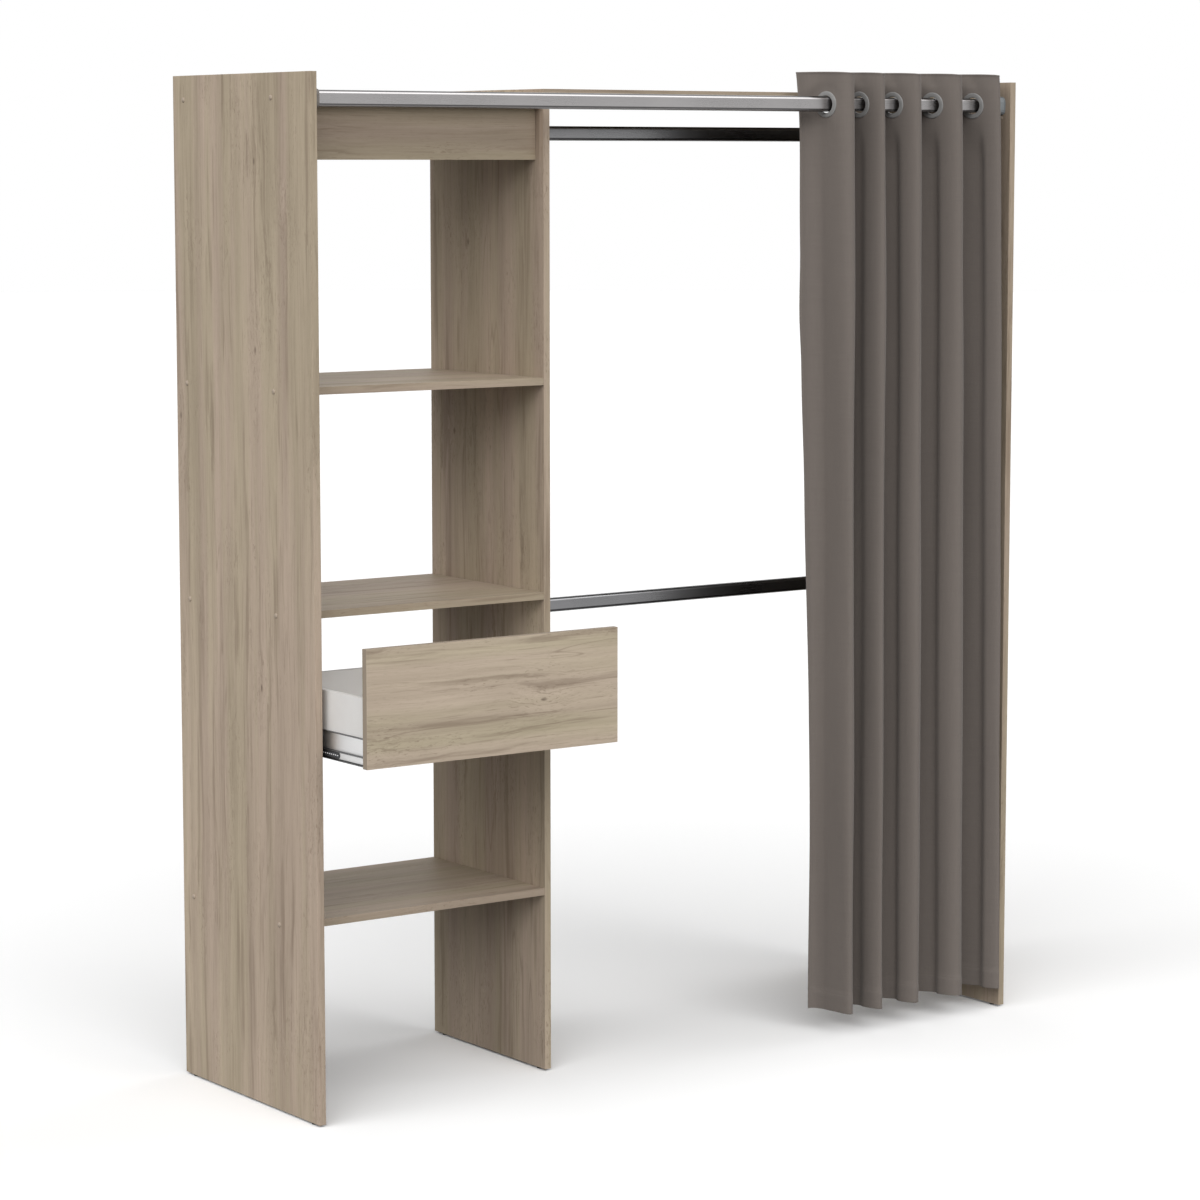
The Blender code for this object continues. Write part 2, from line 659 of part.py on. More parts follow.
def build_curtain(body):
    """The gathered cloth and its ten eyelets on the rod."""
    top = ROD_LEVEL + CURTAIN_HEADING
    drop = top - CURTAIN_HEM
    origin = Vector((CURTAIN_LEFT, ROD_SETBACK, ROD_LEVEL))
    bm = bmesh.new()
    rows = []
    for share in CLOTH_ROW_SHARES:
        row = [bm.verts.new(Vector((x, y, top - drop * share)) - origin) for x, y in fold_line(share)]
        rows.append(row)
    for upper, lower in zip(rows, rows[1:]):
        for i in range(len(upper) - 1):
            bm.faces.new((upper[i], lower[i], lower[i + 1], upper[i + 1]))
    sheet = bpy.data.meshes.new("curtain_cloth")
    bm.to_mesh(sheet)
    bm.free()
    cloth = piece("curtain_cloth", sheet, origin, FABRIC, body)
    thick = cloth.modifiers.new("Thickness", "SOLIDIFY")
    thick.thickness = CLOTH
    thick.offset = 0

    half = EYELET_THICKNESS / 2
    crown = (EYELET_RADIUS + EYELET_HOLE_RADIUS) / 2
    edge = EYELET_EDGE / 2
    profile = [
        (crown, half), (EYELET_RADIUS, edge), (EYELET_RADIUS, -edge),
        (crown, -half), (EYELET_HOLE_RADIUS, -edge), (EYELET_HOLE_RADIUS, edge),
    ]
    ring = turned_mesh("eyelet", profile, EYELET_SIDES, closed=True)
    cut_radius = (EYELET_RADIUS + GAP) / math.cos(math.pi / EYELET_SIDES)
    cut_half = EYELET_CUT / 2
    plug = turned_mesh("eyelet_cut", [
        (0, cut_half), (cut_radius, cut_half), (cut_radius, -cut_half), (0, -cut_half),
    ], EYELET_SIDES)
    holes = []
    for number, (x, y, angle) in enumerate(rod_crossings(CURTAIN_HEADING / drop), start=1):
        centre = Vector((x, y, ROD_LEVEL - eyelet_drop(angle)))
        turn = Euler((0, math.pi / 2, angle))
        piece(f"eyelet_{number}", ring, centre, EYELET_GREY, body, turn)
        holes.append(Matrix.Translation(centre - origin) @ turn.to_matrix().to_4x4())
    combine(cloth, cutter("eyelet_holes", group_mesh("eyelet_holes", plug, holes), origin))


def shade_round_pieces():
    """Smooth shading on round shapes, sharp at their edges."""
    for item in PIECES.objects:
        if item.type == "MESH":
            item.data.shade_smooth()
            item.data.set_sharp_from_angle(angle=math.radians(35))


clear_scene()
PIECES = new_collection("extendable_clothes_rack")
CUTTERS = new_collection("cutters")
PLACES = {}
WOOD = new_material("oak_effect_board", (0.40, 0.32, 0.25), 0.55)
WOOD_ACROSS = new_material("oak_effect_shelf", (0.42, 0.34, 0.26), 0.55)
WHITE_BOARD = new_material("white_board", (0.66, 0.64, 0.62), 0.5)
GREY_TUBE = new_material("grey_tube", (0.33, 0.32, 0.32), 0.35, 1.0)
CHROME = new_material("chrome_tube", (0.26, 0.26, 0.27), 0.12, 1.0)
SOCKET_GREY = new_material("grey_socket", (0.20, 0.22, 0.23), 0.45)
SLIDE_METAL = new_material("zinc_slide", (0.60, 0.60, 0.61), 0.3, 1.0)
SCREW_PAINT = new_material("screw_steel", (0.45, 0.40, 0.34), 0.5)
BLACK_PLASTIC = new_material("black_glide", (0.02, 0.02, 0.02), 0.6)
FABRIC = new_material("taupe_fabric", (0.14, 0.12, 0.11), 0.9)
EYELET_GREY = new_material("grey_eyelet", (0.19, 0.19, 0.19), 0.4)

TOWER = new_body("tower", (0, 0, 0))
RIGHT_SIDE = new_body("right_frame", (RIGHT_FACE, ROD_SETBACK, ROD_LEVEL), TOWER)
CURTAIN = new_body("curtain", (CURTAIN_LEFT, ROD_SETBACK, ROD_LEVEL), RIGHT_SIDE)
DRAWER = new_body("drawer", (TOWER_WIDTH / 2, DRAWER_Y, SLIDE_CENTRE), TOWER)
MIDDLE_MEMBERS = {
    "left": new_body("slide_left_middle", (BAY_LEFT, SLIDE_SHUT_Y, SLIDE_CENTRE), TOWER),
    "right": new_body("slide_right_middle", (BAY_RIGHT, SLIDE_SHUT_Y, SLIDE_CENTRE), TOWER),
}

build_tower(TOWER)
build_right_side(RIGHT_SIDE)
build_rods(TOWER, RIGHT_SIDE)
build_drawer(DRAWER)
build_slides(TOWER, DRAWER, MIDDLE_MEMBERS)
build_curtain(CURTAIN)
shade_round_pieces()
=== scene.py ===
"""The extendable clothes rack, dressed: boards, rods, slides, drawer and curtain.

Lengths are in metres.  Places are worked out from the left, the front and the floor of the
rack (x to the right, y to the back, z up).  The function `at` moves them to the frame's own
origin.
"""

import math

import bmesh
import bpy
from mathutils import Euler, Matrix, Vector, noise


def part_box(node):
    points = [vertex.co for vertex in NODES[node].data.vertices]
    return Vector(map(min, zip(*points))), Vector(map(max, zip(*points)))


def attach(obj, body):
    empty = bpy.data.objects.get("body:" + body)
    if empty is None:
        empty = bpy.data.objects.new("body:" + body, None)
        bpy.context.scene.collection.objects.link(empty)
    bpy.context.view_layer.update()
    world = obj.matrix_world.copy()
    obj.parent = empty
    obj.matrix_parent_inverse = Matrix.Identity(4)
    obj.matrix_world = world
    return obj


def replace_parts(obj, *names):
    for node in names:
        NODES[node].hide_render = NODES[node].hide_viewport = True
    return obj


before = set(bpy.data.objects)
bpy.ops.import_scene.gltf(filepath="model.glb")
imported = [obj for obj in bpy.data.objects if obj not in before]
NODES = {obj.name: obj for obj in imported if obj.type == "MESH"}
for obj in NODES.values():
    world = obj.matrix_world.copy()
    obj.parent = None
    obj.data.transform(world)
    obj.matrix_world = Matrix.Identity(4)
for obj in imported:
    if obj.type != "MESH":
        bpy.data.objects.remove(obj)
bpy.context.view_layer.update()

# The rack's own sizes, as the solids have them
ORIGIN = Vector((0.8845, 0.1875, 0.0))
FULL_WIDTH = 1.769
ROD_SETBACK = 0.029
ROD_LEVEL = 1.980
# The play between pieces that slide in each other or lie on each other
GAP = 0.0003

# The gathered curtain: its place at the top and at the hem, how far its turns stand before and
# behind the rod, how far its heading stands above the rod and its hem above the floor
CURTAIN_WIDTH = 0.512
CURTAIN_LEFT = 1.223
CURTAIN_LOW_WIDTH = 0.476
CURTAIN_LOW_LEFT = 1.269
CURTAIN_FRONT = 0.056
CURTAIN_BACK = 0.041
CURTAIN_HEADING = 0.065
CURTAIN_FLOOR_GAP = 0.050
CURTAIN_TOP = ROD_LEVEL + CURTAIN_HEADING
CURTAIN_DROP = CURTAIN_TOP - CURTAIN_FLOOR_GAP
# Where its turns lie across its width, at the top and at the hem
BACK_FOLD_SHARES = (0.0, 0.227, 0.391, 0.598, 0.824, 1.0)
FRONT_FOLD_SHARES = (0.135, 0.295, 0.486, 0.705, 0.920)
BACK_FOLD_LOW_SHARES = (0.0, 0.18, 0.365, 0.60, 0.86, 1.0)
FRONT_FOLD_LOW_SHARES = (0.084, 0.2595, 0.47, 0.725, 0.967)
# How round each stretch of cloth between two turns is, with a bow in the first one alone
TURN_SHARES = (0.60, 0.10, 0.10, 0.10, 0.10, 0.10, 0.05, 0.10, 0.0, 0.10)
EDGE_BOW = 0.008
STRETCHES = [(share, EDGE_BOW if index == 0 else 0) for index, share in enumerate(TURN_SHARES)]
# The power by which the turns pass from their places at the top to those at the hem
HANG_POWER = 0.58

# The cloth itself: its thickness, with the share of it outside the hems, and its hems
CLOTH_THICKNESS = 0.0020
CLOTH_SINGLE_SHARE = 0.5
BOTTOM_HEM = 0.040
TOP_HEM = 0.0035
SIDE_HEM = 0.012
# The grid that it is drawn on: columns for each fold, and rows that are close together at the
# hems' seams and round the eyelets, with a margin below the top hem and above the bottom one
FOLD_STEPS = 24
SEAM_HALF = 0.0008
TOP_EDGE_ROW = 0.0012
EYELET_ROWS = 24
EYELET_ROW_STEP = 0.0042
HEADING_ROW_STEP = 0.010
HEADING_ROWS_END = 0.26
PLAIN_ROWS = 60
ROW_MARGIN = (0.004, 0.012)
HEM_ROW_SHARES = (0.8, 0.6, 0.4, 0.2, 0.06, 0.03, 0.0)
# Soft waves of the hanging cloth: their size, waves per metre across, back and down, and a shift,
# and how far below the top they start and are full
SWAY = (0.0045, (6.0, 9.0, 1.3), 0.0)
RIPPLE = (0.0022, (22.0, 22.0, 2.6), 5.0)
HANG_SPAN = (0.10, 0.60)
# Creases that run down the folds: the stretch, where its bottom and its start lie, its depth
CREASES = (
    (0, 0.35, 0.10, 0.0018), (2, 0.47, 0.27, 0.0055), (4, 0.49, 0.24, 0.0130),
    (6, 0.48, 0.20, 0.0140), (8, 0.55, 0.25, 0.0120), (3, 0.60, 0.35, 0.0040),
    (5, 0.55, 0.30, 0.0050), (7, 0.62, 0.38, 0.0040),
)
# How soon a crease comes forward again past its bottom, and how far below the top it starts
CREASE_RISE = 0.075
CREASE_TOP = (0.105, 0.185)
CREASE_POWER = 1.1
CREASE_EVEN_SHARE = 0.85
CREASE_UNEVEN_SHARE = 0.35
# Soft dips of the heading above the eyelets
DART_STRETCHES = (2, 4, 6, 8)
DART_CENTRE = 0.45
DART_WIDTH = 0.10
DART_DEPTH = 0.0045
DART_END = (0.018, 0.040)
# Where the free left edge turns as it wanders: how far below the top, and how far to the right
EDGE_WANDER = (
    (0.0, -0.0035), (0.10, -0.0010), (0.36, -0.0065), (0.50, -0.0115), (0.62, -0.0075),
    (0.88, -0.0020), (1.33, 0.0045), (1.60, 0.0055), (2.0, 0.0010),
)
# How many columns of the grid wander with the edge
EDGE_REACH = 9
# The heading's top edge rises and falls a little along each fold
HEADING_WAVE = 0.0016
HEADING_WAVE_START = 0.6
HEADING_WAVE_END = 0.032

# The eyelets: the cloth lies flat in each one's plane, from its seat to a little past its rim
EYELET_RADIUS = 0.028
EYELET_HOLE_RADIUS = 0.0175
EYELET_SEAT_RADIUS = 0.0235
EYELET_FLAT_SPAN = (EYELET_RADIUS + 0.001, EYELET_RADIUS + 0.022)
EYELET_MIDDLE = 0.0001
# Half of an eyelet's section, as radius and height above its middle plane
EYELET_HALF = (
    (EYELET_HOLE_RADIUS, 0.0), (EYELET_HOLE_RADIUS, 0.0013), (0.0177, 0.0020),
    (0.0184, 0.0026), (0.0194, 0.0028), (0.0252, 0.0027), (0.0264, 0.0024),
    (0.0271, 0.0018), (0.0274, 0.0009),
)
EYELET_STEPS = 72

# The boards' broken edges, and how sharp an edge is broken or kept sharp, in degrees
BOARD_EDGE = 0.0005
SMALL_EDGE = 0.0004
WELD_DISTANCE = 0.00002
MERGE_DISTANCE = 0.00001
BROKEN_ANGLE = 40
SHARP_ANGLE = 35

# The rod, the rails and their sockets: depth, height and corner of each section
ROD_SECTION = (0.020, 0.032, 0.0075)
RAIL_SECTION = (0.015, 0.030, 0.007)
TUBE_WALL = 0.001
TUBE_MOUTH_EDGE = 0.0003
CORNER_STEPS = 8
SCREW_DROP = 0.0055

# The screws' profiles, as radius and height, and how many sides they have
CAP_PROFILE = (
    (0.0, 0.0027), (0.0012, 0.0026), (0.0024, 0.0023), (0.0035, 0.0018), (0.0044, 0.0012),
    (0.0050, 0.0006), (0.0053, 0.0), (0.0053, -0.0003), (0.0, -0.0003),
)
CAP_SIDES = 40
HEAD_PROFILE = (
    (0.0, 0.0020), (0.0017, 0.0020), (0.0030, 0.0018), (0.0041, 0.0012), (0.0047, 0.0004),
    (0.0048, 0.0), (0.0, 0.0),
)
HEAD_SIDES = 32
# The near-black disc set on a socket screw's head as painted shade for its drive recess, and how
# far up it is lifted
RECESS_PROFILE = ((0.0, 0.0006), (0.0014, 0.0006), (0.0017, 0.0004), (0.0018, 0.0), (0.0, 0.0))
RECESS_SIDES = 16
RECESS_LIFT = 0.0017

# The glides' soft edge: how far in from the rim and how far up each of its points lies
GLIDE_EDGE = ((0.0012, 0.0), (0.0004, 0.0003), (0.0, 0.0011))
GLIDE_SIDES = 36

# The slides: painted shade on the drawer's members, as dark bands under their lips and in their
# race, as two heights and how dark they are
PAINTED_SHADE_BANDS = ((0.7250, 0.7275, 0.90), (0.7406, 0.7432, 0.90), (0.7768, 0.7790, 0.90))
BAND_EDGE = 0.0004
# The ball cage in their lower race: its heights, its front end along the frame's own Y, how deep
# in the member it lies, its plate and its corners
CAGE_LEVELS = (0.7280, 0.7404)
CAGE_FRONT = -0.2325
CAGE_WEB = 0.0059
CAGE_THICKNESS = 0.0008
CAGE_EDGE_SHARE = 0.7
CAGE_CORNER_SHARE = 0.98
CAGE_EDGE = 0.0003
# Its balls: how deep in the cage they sit, and where along it
BALL_RADIUS = 0.0022
BALL_SIDES = 20
BALL_DOME_STEPS = 8
BALL_SEAT_SHARE = 0.8
BALL_COUNT = 8
BALL_START = 0.0068
BALL_PITCH = 0.0075

# The photograph's camera: its place in the frame, how far it is raised from straight down and
# turned, in degrees, and its lens on its sensor, in millimetres
CAMERA_PLACE = (-4.4539, -6.1180, 1.8630)
CAMERA_RAISE = 83.130
CAMERA_TURN = -35.549
LENS_LENGTH = 109.40
SENSOR_WIDTH = 36.0
VIEW_SPAN = (0.1, 200.0)

# The floor: its radius and sides, and how pale it is where it is seen and where it bounces light
FLOOR_RADIUS = 45.0
FLOOR_SIDES = 96
FLOOR_SEEN = (0.98, 0.98, 0.98, 1.0)
FLOOR_BOUNCED = (0.15, 0.15, 0.15, 1.0)
# Soft lights in the sky: azimuth and elevation in degrees, and strength
SKY_LIGHTS = (
    (180, 30, 3.1), (225, 30, 4.5), (270, 30, 2.95), (0, 30, 2.25), (90, 30, 1.25),
    (180, 52, 0.85), (270, 52, 1.25), (0, 52, 0.5),
)
SKY_LIGHT_FOCUS = 14
# How much brighter than the pale background the sky's upper part is in what metal mirrors, and
# between which heights on the sky, from 0 to 1, this glow starts and ends
GLOSS_GLOW = 0.9
GLOW_START = (0.30, 0.46)
GLOW_END = (0.80, 0.95)

# How far up a drawn tube's surface faces, from -1 to 1, where painted shade darkens its corners
# and where its painted highlight line runs
UPPER_PAINTED_SHADE = (0.56, 0.70)
LOWER_PAINTED_SHADE_START = (-0.62, -0.46)
LOWER_PAINTED_SHADE_END = (-0.22, -0.10)
UNDERSIDE_PAINTED_SHADE = (-0.95, -0.85)
PAINTED_HIGHLIGHT_START = (0.12, 0.24)
PAINTED_HIGHLIGHT_END = (0.46, 0.58)
# How much the painted highlight brightens the light colour, and how much of the dark colour the
# painted shade keeps
PAINTED_HIGHLIGHT_GAIN = 1.7
PAINTED_SHADE_SHARE = 0.28

# What darkens the wood: streaks and veins, and the hearts of its knots.  A board's heart wood
# and sap wood differ a little in hue
STREAK_COLOUR = (0.17, 0.122, 0.085)
KNOT_COLOUR = (0.09, 0.062, 0.045)
HEART_HUE = (1.012, 0.992, 1.0)
SAP_HUE = (0.985, 1.006, 0.945)
# Threads of the cloth per metre, and the length of a stitch in its seams
THREADS = 1 / 0.0009
STITCH_LENGTH = 0.0035
SEAM_COLOUR = (0.035, 0.03, 0.028)


def at(x, y, z):
    """A point of the rack, given from its left, front and floor, in the frame's own place."""
    return Vector((x, y, z)) - ORIGIN


# Nodes of the materials


def new_node(tree, kind, inputs=None, **settings):
    """A node with its settings, and with its inputs set or linked."""
    made = tree.nodes.new(kind)
    for key, value in settings.items():
        setattr(made, key, value)
    for key, value in (inputs or {}).items():
        socket = made.inputs[key]
        if isinstance(value, bpy.types.NodeSocket):
            tree.links.new(value, socket)
        else:
            socket.default_value = value
    return made


def calc(tree, operation, *values):
    """The result of a sum of numbers and sockets."""
    inputs = dict(enumerate(values))
    return new_node(tree, "ShaderNodeMath", inputs, operation=operation).outputs[0]


def spread(tree, value, low, high, to_low=0.0, to_high=1.0):
    """A value taken from one range to another and held inside it, with soft ends."""
    inputs = {0: value, 1: low, 2: high, 3: to_low, 4: to_high}
    made = new_node(tree, "ShaderNodeMapRange", inputs, interpolation_type="SMOOTHSTEP")
    return made.outputs[0]


def vector(tree, x, y, z):
    """A vector made of three numbers or sockets."""
    return new_node(tree, "ShaderNodeCombineXYZ", {0: x, 1: y, 2: z}).outputs[0]


def cloud(tree, place, detail=2.0, roughness=0.5):
    """Soft noise, from 0 to 1, at a place given in units of its own grain."""
    inputs = {"Vector": place, "Scale": 1.0, "Detail": detail, "Roughness": roughness}
    return new_node(tree, "ShaderNodeTexNoise", inputs).outputs[0]


def mixed(tree, share, first, second, blend="MIX"):
    """Two colours mixed by a share."""
    made = new_node(tree, "ShaderNodeMix", data_type="RGBA", blend_type=blend)
    for index, value in ((0, share), (6, first), (7, second)):
        if isinstance(value, bpy.types.NodeSocket):
            tree.links.new(value, made.inputs[index])
        elif index == 0:
            made.inputs[index].default_value = value
        else:
            made.inputs[index].default_value = (*value, 1.0)
    return made.outputs[2]


def bumped(tree, shader, height, strength, distance):
    """A fine relief on a shader."""
    inputs = {"Height": height, "Strength": strength, "Distance": distance}
    made = new_node(tree, "ShaderNodeBump", inputs)
    tree.links.new(made.outputs[0], shader.inputs["Normal"])


def new_material(name, roughness, metallic=0.0):
    """A material with its node tree and its shader."""
    material = bpy.data.materials.new(name)
    material.use_nodes = True
    tree = material.node_tree
    shader = tree.nodes["Principled BSDF"]
    shader.inputs["Roughness"].default_value = roughness
    shader.inputs["Metallic"].default_value = metallic
    return material, tree, shader


def wood_material(name, upright, dark, light, seed=0.0, edge=None):
    """Greyed oak: bands, veins, streaks and hairs, flecked patches and a few small knots.

    The grain's scales are in grains per metre, across the board and along it.
    """
    material, tree, shader = new_material(name, 0.5)
    spot = new_node(tree, "ShaderNodeTexCoord").outputs["Object"]
    parts = new_node(tree, "ShaderNodeSeparateXYZ", {0: spot}).outputs
    if upright:
        first, second, along = parts[0], parts[1], parts[2]
    else:
        first, second, along = parts[1], parts[2], parts[0]
    second = calc(tree, "ADD", second, seed)

    def grain(across_scale, along_scale, shift=0.0):
        u = calc(tree, "MULTIPLY", calc(tree, "ADD", first, shift), across_scale)
        v = calc(tree, "MULTIPLY", calc(tree, "ADD", second, shift), across_scale)
        w = calc(tree, "MULTIPLY", along, along_scale)
        return vector(tree, u, v, w)

    def centred(value):
        return calc(tree, "SUBTRACT", value, 0.5)

    def product(*values):
        total = values[0]
        for value in values[1:]:
            total = calc(tree, "MULTIPLY", total, value)
        return total

    # A few cells of a plane pattern hold a knot
    across = calc(tree, "ADD", first, second)
    cell_place = vector(tree, product(across, 3.9), product(along, 1.9), 0.0)
    cells = new_node(
        tree, "ShaderNodeTexVoronoi", {"Vector": cell_place, "Scale": 1.0, "Randomness": 1.0},
        voronoi_dimensions="2D", feature="F1",
    ).outputs
    lot = new_node(tree, "ShaderNodeSeparateColor", {0: cells["Color"]}).outputs[0]
    chosen = spread(tree, lot, 0.56, 0.58)
    halo = product(chosen, spread(tree, cells["Distance"], 0.0, 0.24, 1.0, 0.0))
    core = product(chosen, spread(tree, cells["Distance"], 0.004, 0.020, 1.0, 0.0))

    # The grain bends slowly, curls in unquiet patches and runs round the knots
    patch = spread(tree, cloud(tree, grain(15.0, 4.2), 2.0), 0.50, 0.66)
    unrest = calc(tree, "MAXIMUM", patch, halo)
    bend = product(centred(cloud(tree, grain(6.0, 1.6), 2.0)), 0.050)
    curl = product(centred(cloud(tree, grain(52.0, 17.0), 3.0, 0.6)), unrest, 0.022)
    round_knot = product(halo, halo, 0.012)
    shift = calc(tree, "ADD", calc(tree, "ADD", bend, curl), round_knot)

    # The figure, from wide bands to fine hairs
    wide = cloud(tree, grain(9.0, 0.9, shift), 2.0)
    bands = cloud(tree, grain(34.0, 1.2, shift), 3.0, 0.6)
    lines = cloud(tree, grain(170.0, 3.2, shift), 4.0, 0.7)
    hairs = cloud(tree, grain(800.0, 9.0, shift), 3.0, 0.7)
    flecks = spread(tree, cloud(tree, grain(380.0, 60.0, shift), 2.0), 0.56, 0.72)
    flecks = product(flecks, calc(tree, "MULTIPLY_ADD", unrest, 0.75, 0.25))
    streaks = spread(tree, cloud(tree, grain(46.0, 1.9, shift), 3.0, 0.6), 0.54, 0.70)
    threads = spread(tree, cloud(tree, grain(240.0, 3.6, shift), 2.0), 0.62, 0.72)
    vein = calc(tree, "ABSOLUTE", centred(cloud(tree, grain(21.0, 1.0, shift), 2.0, 0.6)))
    here = spread(tree, cloud(tree, grain(9.0, 3.2), 1.0), 0.48, 0.62)
    veins = product(spread(tree, vein, 0.0, 0.014, 1.0, 0.0), here)

    # The bands and hairs make the tone, and the streaks, flecks and veins darken it
    tone = product(spread(tree, wide, 0.30, 0.70), 0.28)
    tone = calc(tree, "MULTIPLY_ADD", spread(tree, bands, 0.28, 0.72), 0.32, tone)
    tone = calc(tree, "MULTIPLY_ADD", spread(tree, lines, 0.25, 0.75), 0.22, tone)
    tone = calc(tree, "MULTIPLY_ADD", spread(tree, hairs, 0.25, 0.75), 0.18, tone)
    colour = mixed(tree, tone, dark, light)
    tint = spread(tree, cloud(tree, grain(19.0, 0.8), 2.0), 0.35, 0.65)
    hue = mixed(tree, tint, HEART_HUE, SAP_HUE)
    colour = mixed(tree, 1.0, colour, hue, "MULTIPLY")
    colour = mixed(tree, product(streaks, 0.44), colour, STREAK_COLOUR)
    colour = mixed(tree, product(threads, 0.34), colour, STREAK_COLOUR)
    colour = mixed(tree, product(flecks, 0.50), colour, STREAK_COLOUR)
    colour = mixed(tree, product(veins, 0.34), colour, STREAK_COLOUR)
    colour = mixed(tree, product(core, 0.60), colour, KNOT_COLOUR)
    if edge is not None:
        texture = new_node(tree, "ShaderNodeTexCoord").outputs
        facing = new_node(tree, "ShaderNodeSeparateXYZ", {0: texture["Normal"]}).outputs[1]
        facing = calc(tree, "ABSOLUTE", facing)
        colour = mixed(tree, spread(tree, facing, 0.3, 0.9, 1.0, 0.0), colour, edge)
    tree.links.new(colour, shader.inputs["Base Color"])
    tree.links.new(spread(tree, hairs, 0.3, 0.7, 0.60, 0.52), shader.inputs["Roughness"])
    shader.inputs["Specular IOR Level"].default_value = 0.12
    relief = calc(tree, "MULTIPLY_ADD", flecks, -0.8, product(hairs, 0.4))
    bumped(tree, shader, relief, 0.30, 0.0003)
    return material


def white_material(name):
    """White melamine with a very fine pearl in its surface."""
    material, tree, shader = new_material(name, 0.42)
    spot = new_node(tree, "ShaderNodeTexCoord").outputs["Object"]
    large = new_node(tree, "ShaderNodeVectorMath", {0: spot, "Scale": 18.0}, operation="SCALE")
    fine = new_node(tree, "ShaderNodeVectorMath", {0: spot, "Scale": 1400.0}, operation="SCALE")
    cloudy = cloud(tree, large.outputs[0], 3.0)
    pearl = cloud(tree, fine.outputs[0], 2.0)
    colour = mixed(tree, spread(tree, cloudy, 0.3, 0.7), (0.69, 0.67, 0.65), (0.72, 0.705, 0.685))
    tree.links.new(colour, shader.inputs["Base Color"])
    tree.links.new(spread(tree, cloudy, 0.3, 0.7, 0.38, 0.48), shader.inputs["Roughness"])
    bumped(tree, shader, pearl, 0.25, 0.0002)
    return material


def metal_material(name, dark, light, smooth, rough, along, fine=2600.0, tube=False):
    """Drawn metal: fine lines along one axis, slow clouds, a tube's painted shade and painted
    highlight.
    """
    material, tree, shader = new_material(name, rough, 1.0)
    texture = new_node(tree, "ShaderNodeTexCoord").outputs
    spot = texture["Object"]
    scales = [fine, fine, fine]
    scales["xyz".index(along)] = fine / 90
    stretched = new_node(
        tree, "ShaderNodeVectorMath", {0: spot, 1: scales}, operation="MULTIPLY",
    ).outputs[0]
    slow = new_node(
        tree, "ShaderNodeVectorMath", {0: spot, "Scale": 9.0}, operation="SCALE",
    ).outputs[0]
    lines = cloud(tree, stretched, 2.0)
    clouds = cloud(tree, slow, 1.0)
    tone = calc(tree, "MULTIPLY_ADD", lines, 0.40, calc(tree, "MULTIPLY", clouds, 0.60))
    colour = mixed(tree, spread(tree, tone, 0.2, 0.8), dark, light)
    # A tube gets painted shade on its corners and underside and a painted highlight line, by which
    # way its surface faces
    if tube:
        rise = new_node(tree, "ShaderNodeSeparateXYZ", {0: texture["Normal"]}).outputs[2]
        upper = spread(tree, rise, *UPPER_PAINTED_SHADE)
        lower = calc(tree, "MULTIPLY", spread(tree, rise, *LOWER_PAINTED_SHADE_END, 1.0, 0.0),
                     spread(tree, rise, *LOWER_PAINTED_SHADE_START, 0.40, 1.0))
        under = spread(tree, rise, *UNDERSIDE_PAINTED_SHADE, 1.0, 0.0)
        corners = calc(tree, "MAXIMUM", calc(tree, "MAXIMUM", upper, lower), under)
        painted_highlight = calc(tree, "MULTIPLY", spread(tree, rise, *PAINTED_HIGHLIGHT_START),
                     spread(tree, rise, *PAINTED_HIGHLIGHT_END, 1.0, 0.0))
        # The painted highlight, then the painted shade over the corners
        colour = mixed(tree, painted_highlight, colour, tuple(PAINTED_HIGHLIGHT_GAIN * c for c in light))
        colour = mixed(tree, corners, colour, tuple(PAINTED_SHADE_SHARE * c for c in dark))
    tree.links.new(colour, shader.inputs["Base Color"])
    tree.links.new(spread(tree, tone, 0.3, 0.7, smooth, rough), shader.inputs["Roughness"])
    bumped(tree, shader, lines, 0.03, 0.00003)
    return material


def paint_shade_bands(material, spans, dark):
    """Painted shade: dark bands at given heights of a metal section, under its lips and along its
    race.
    """
    tree = material.node_tree
    base = tree.nodes["Principled BSDF"].inputs["Base Color"]
    colour = base.links[0].from_socket
    spot = new_node(tree, "ShaderNodeTexCoord").outputs["Object"]
    height = new_node(tree, "ShaderNodeSeparateXYZ", {0: spot}).outputs[2]
    for low, high, share in spans:
        inside = calc(tree, "MULTIPLY", spread(tree, height, low - BAND_EDGE, low),
                      spread(tree, height, high, high + BAND_EDGE, share, 0.0))
        colour = mixed(tree, inside, colour, dark)
    tree.links.new(colour, base)


def plastic_material(name, colour, roughness, grain=1500.0, depth=0.00012):
    """Moulded plastic with a fine spark-eroded grain."""
    material, tree, shader = new_material(name, roughness)
    spot = new_node(tree, "ShaderNodeTexCoord").outputs["Object"]
    fine = new_node(tree, "ShaderNodeVectorMath", {0: spot, "Scale": grain}, operation="SCALE")
    large = new_node(tree, "ShaderNodeVectorMath", {0: spot, "Scale": 60.0}, operation="SCALE")
    speck = cloud(tree, fine.outputs[0], 2.0)
    cloudy = cloud(tree, large.outputs[0], 2.0)
    darker = tuple(0.93 * c for c in colour)
    lighter = tuple(1.07 * c for c in colour)
    tree.links.new(
        mixed(tree, spread(tree, cloudy, 0.3, 0.7), darker, lighter), shader.inputs["Base Color"],
    )
    tree.links.new(
        spread(tree, speck, 0.3, 0.7, roughness - 0.06, roughness + 0.06),
        shader.inputs["Roughness"],
    )
    bumped(tree, shader, speck, 0.3, depth)
    return material


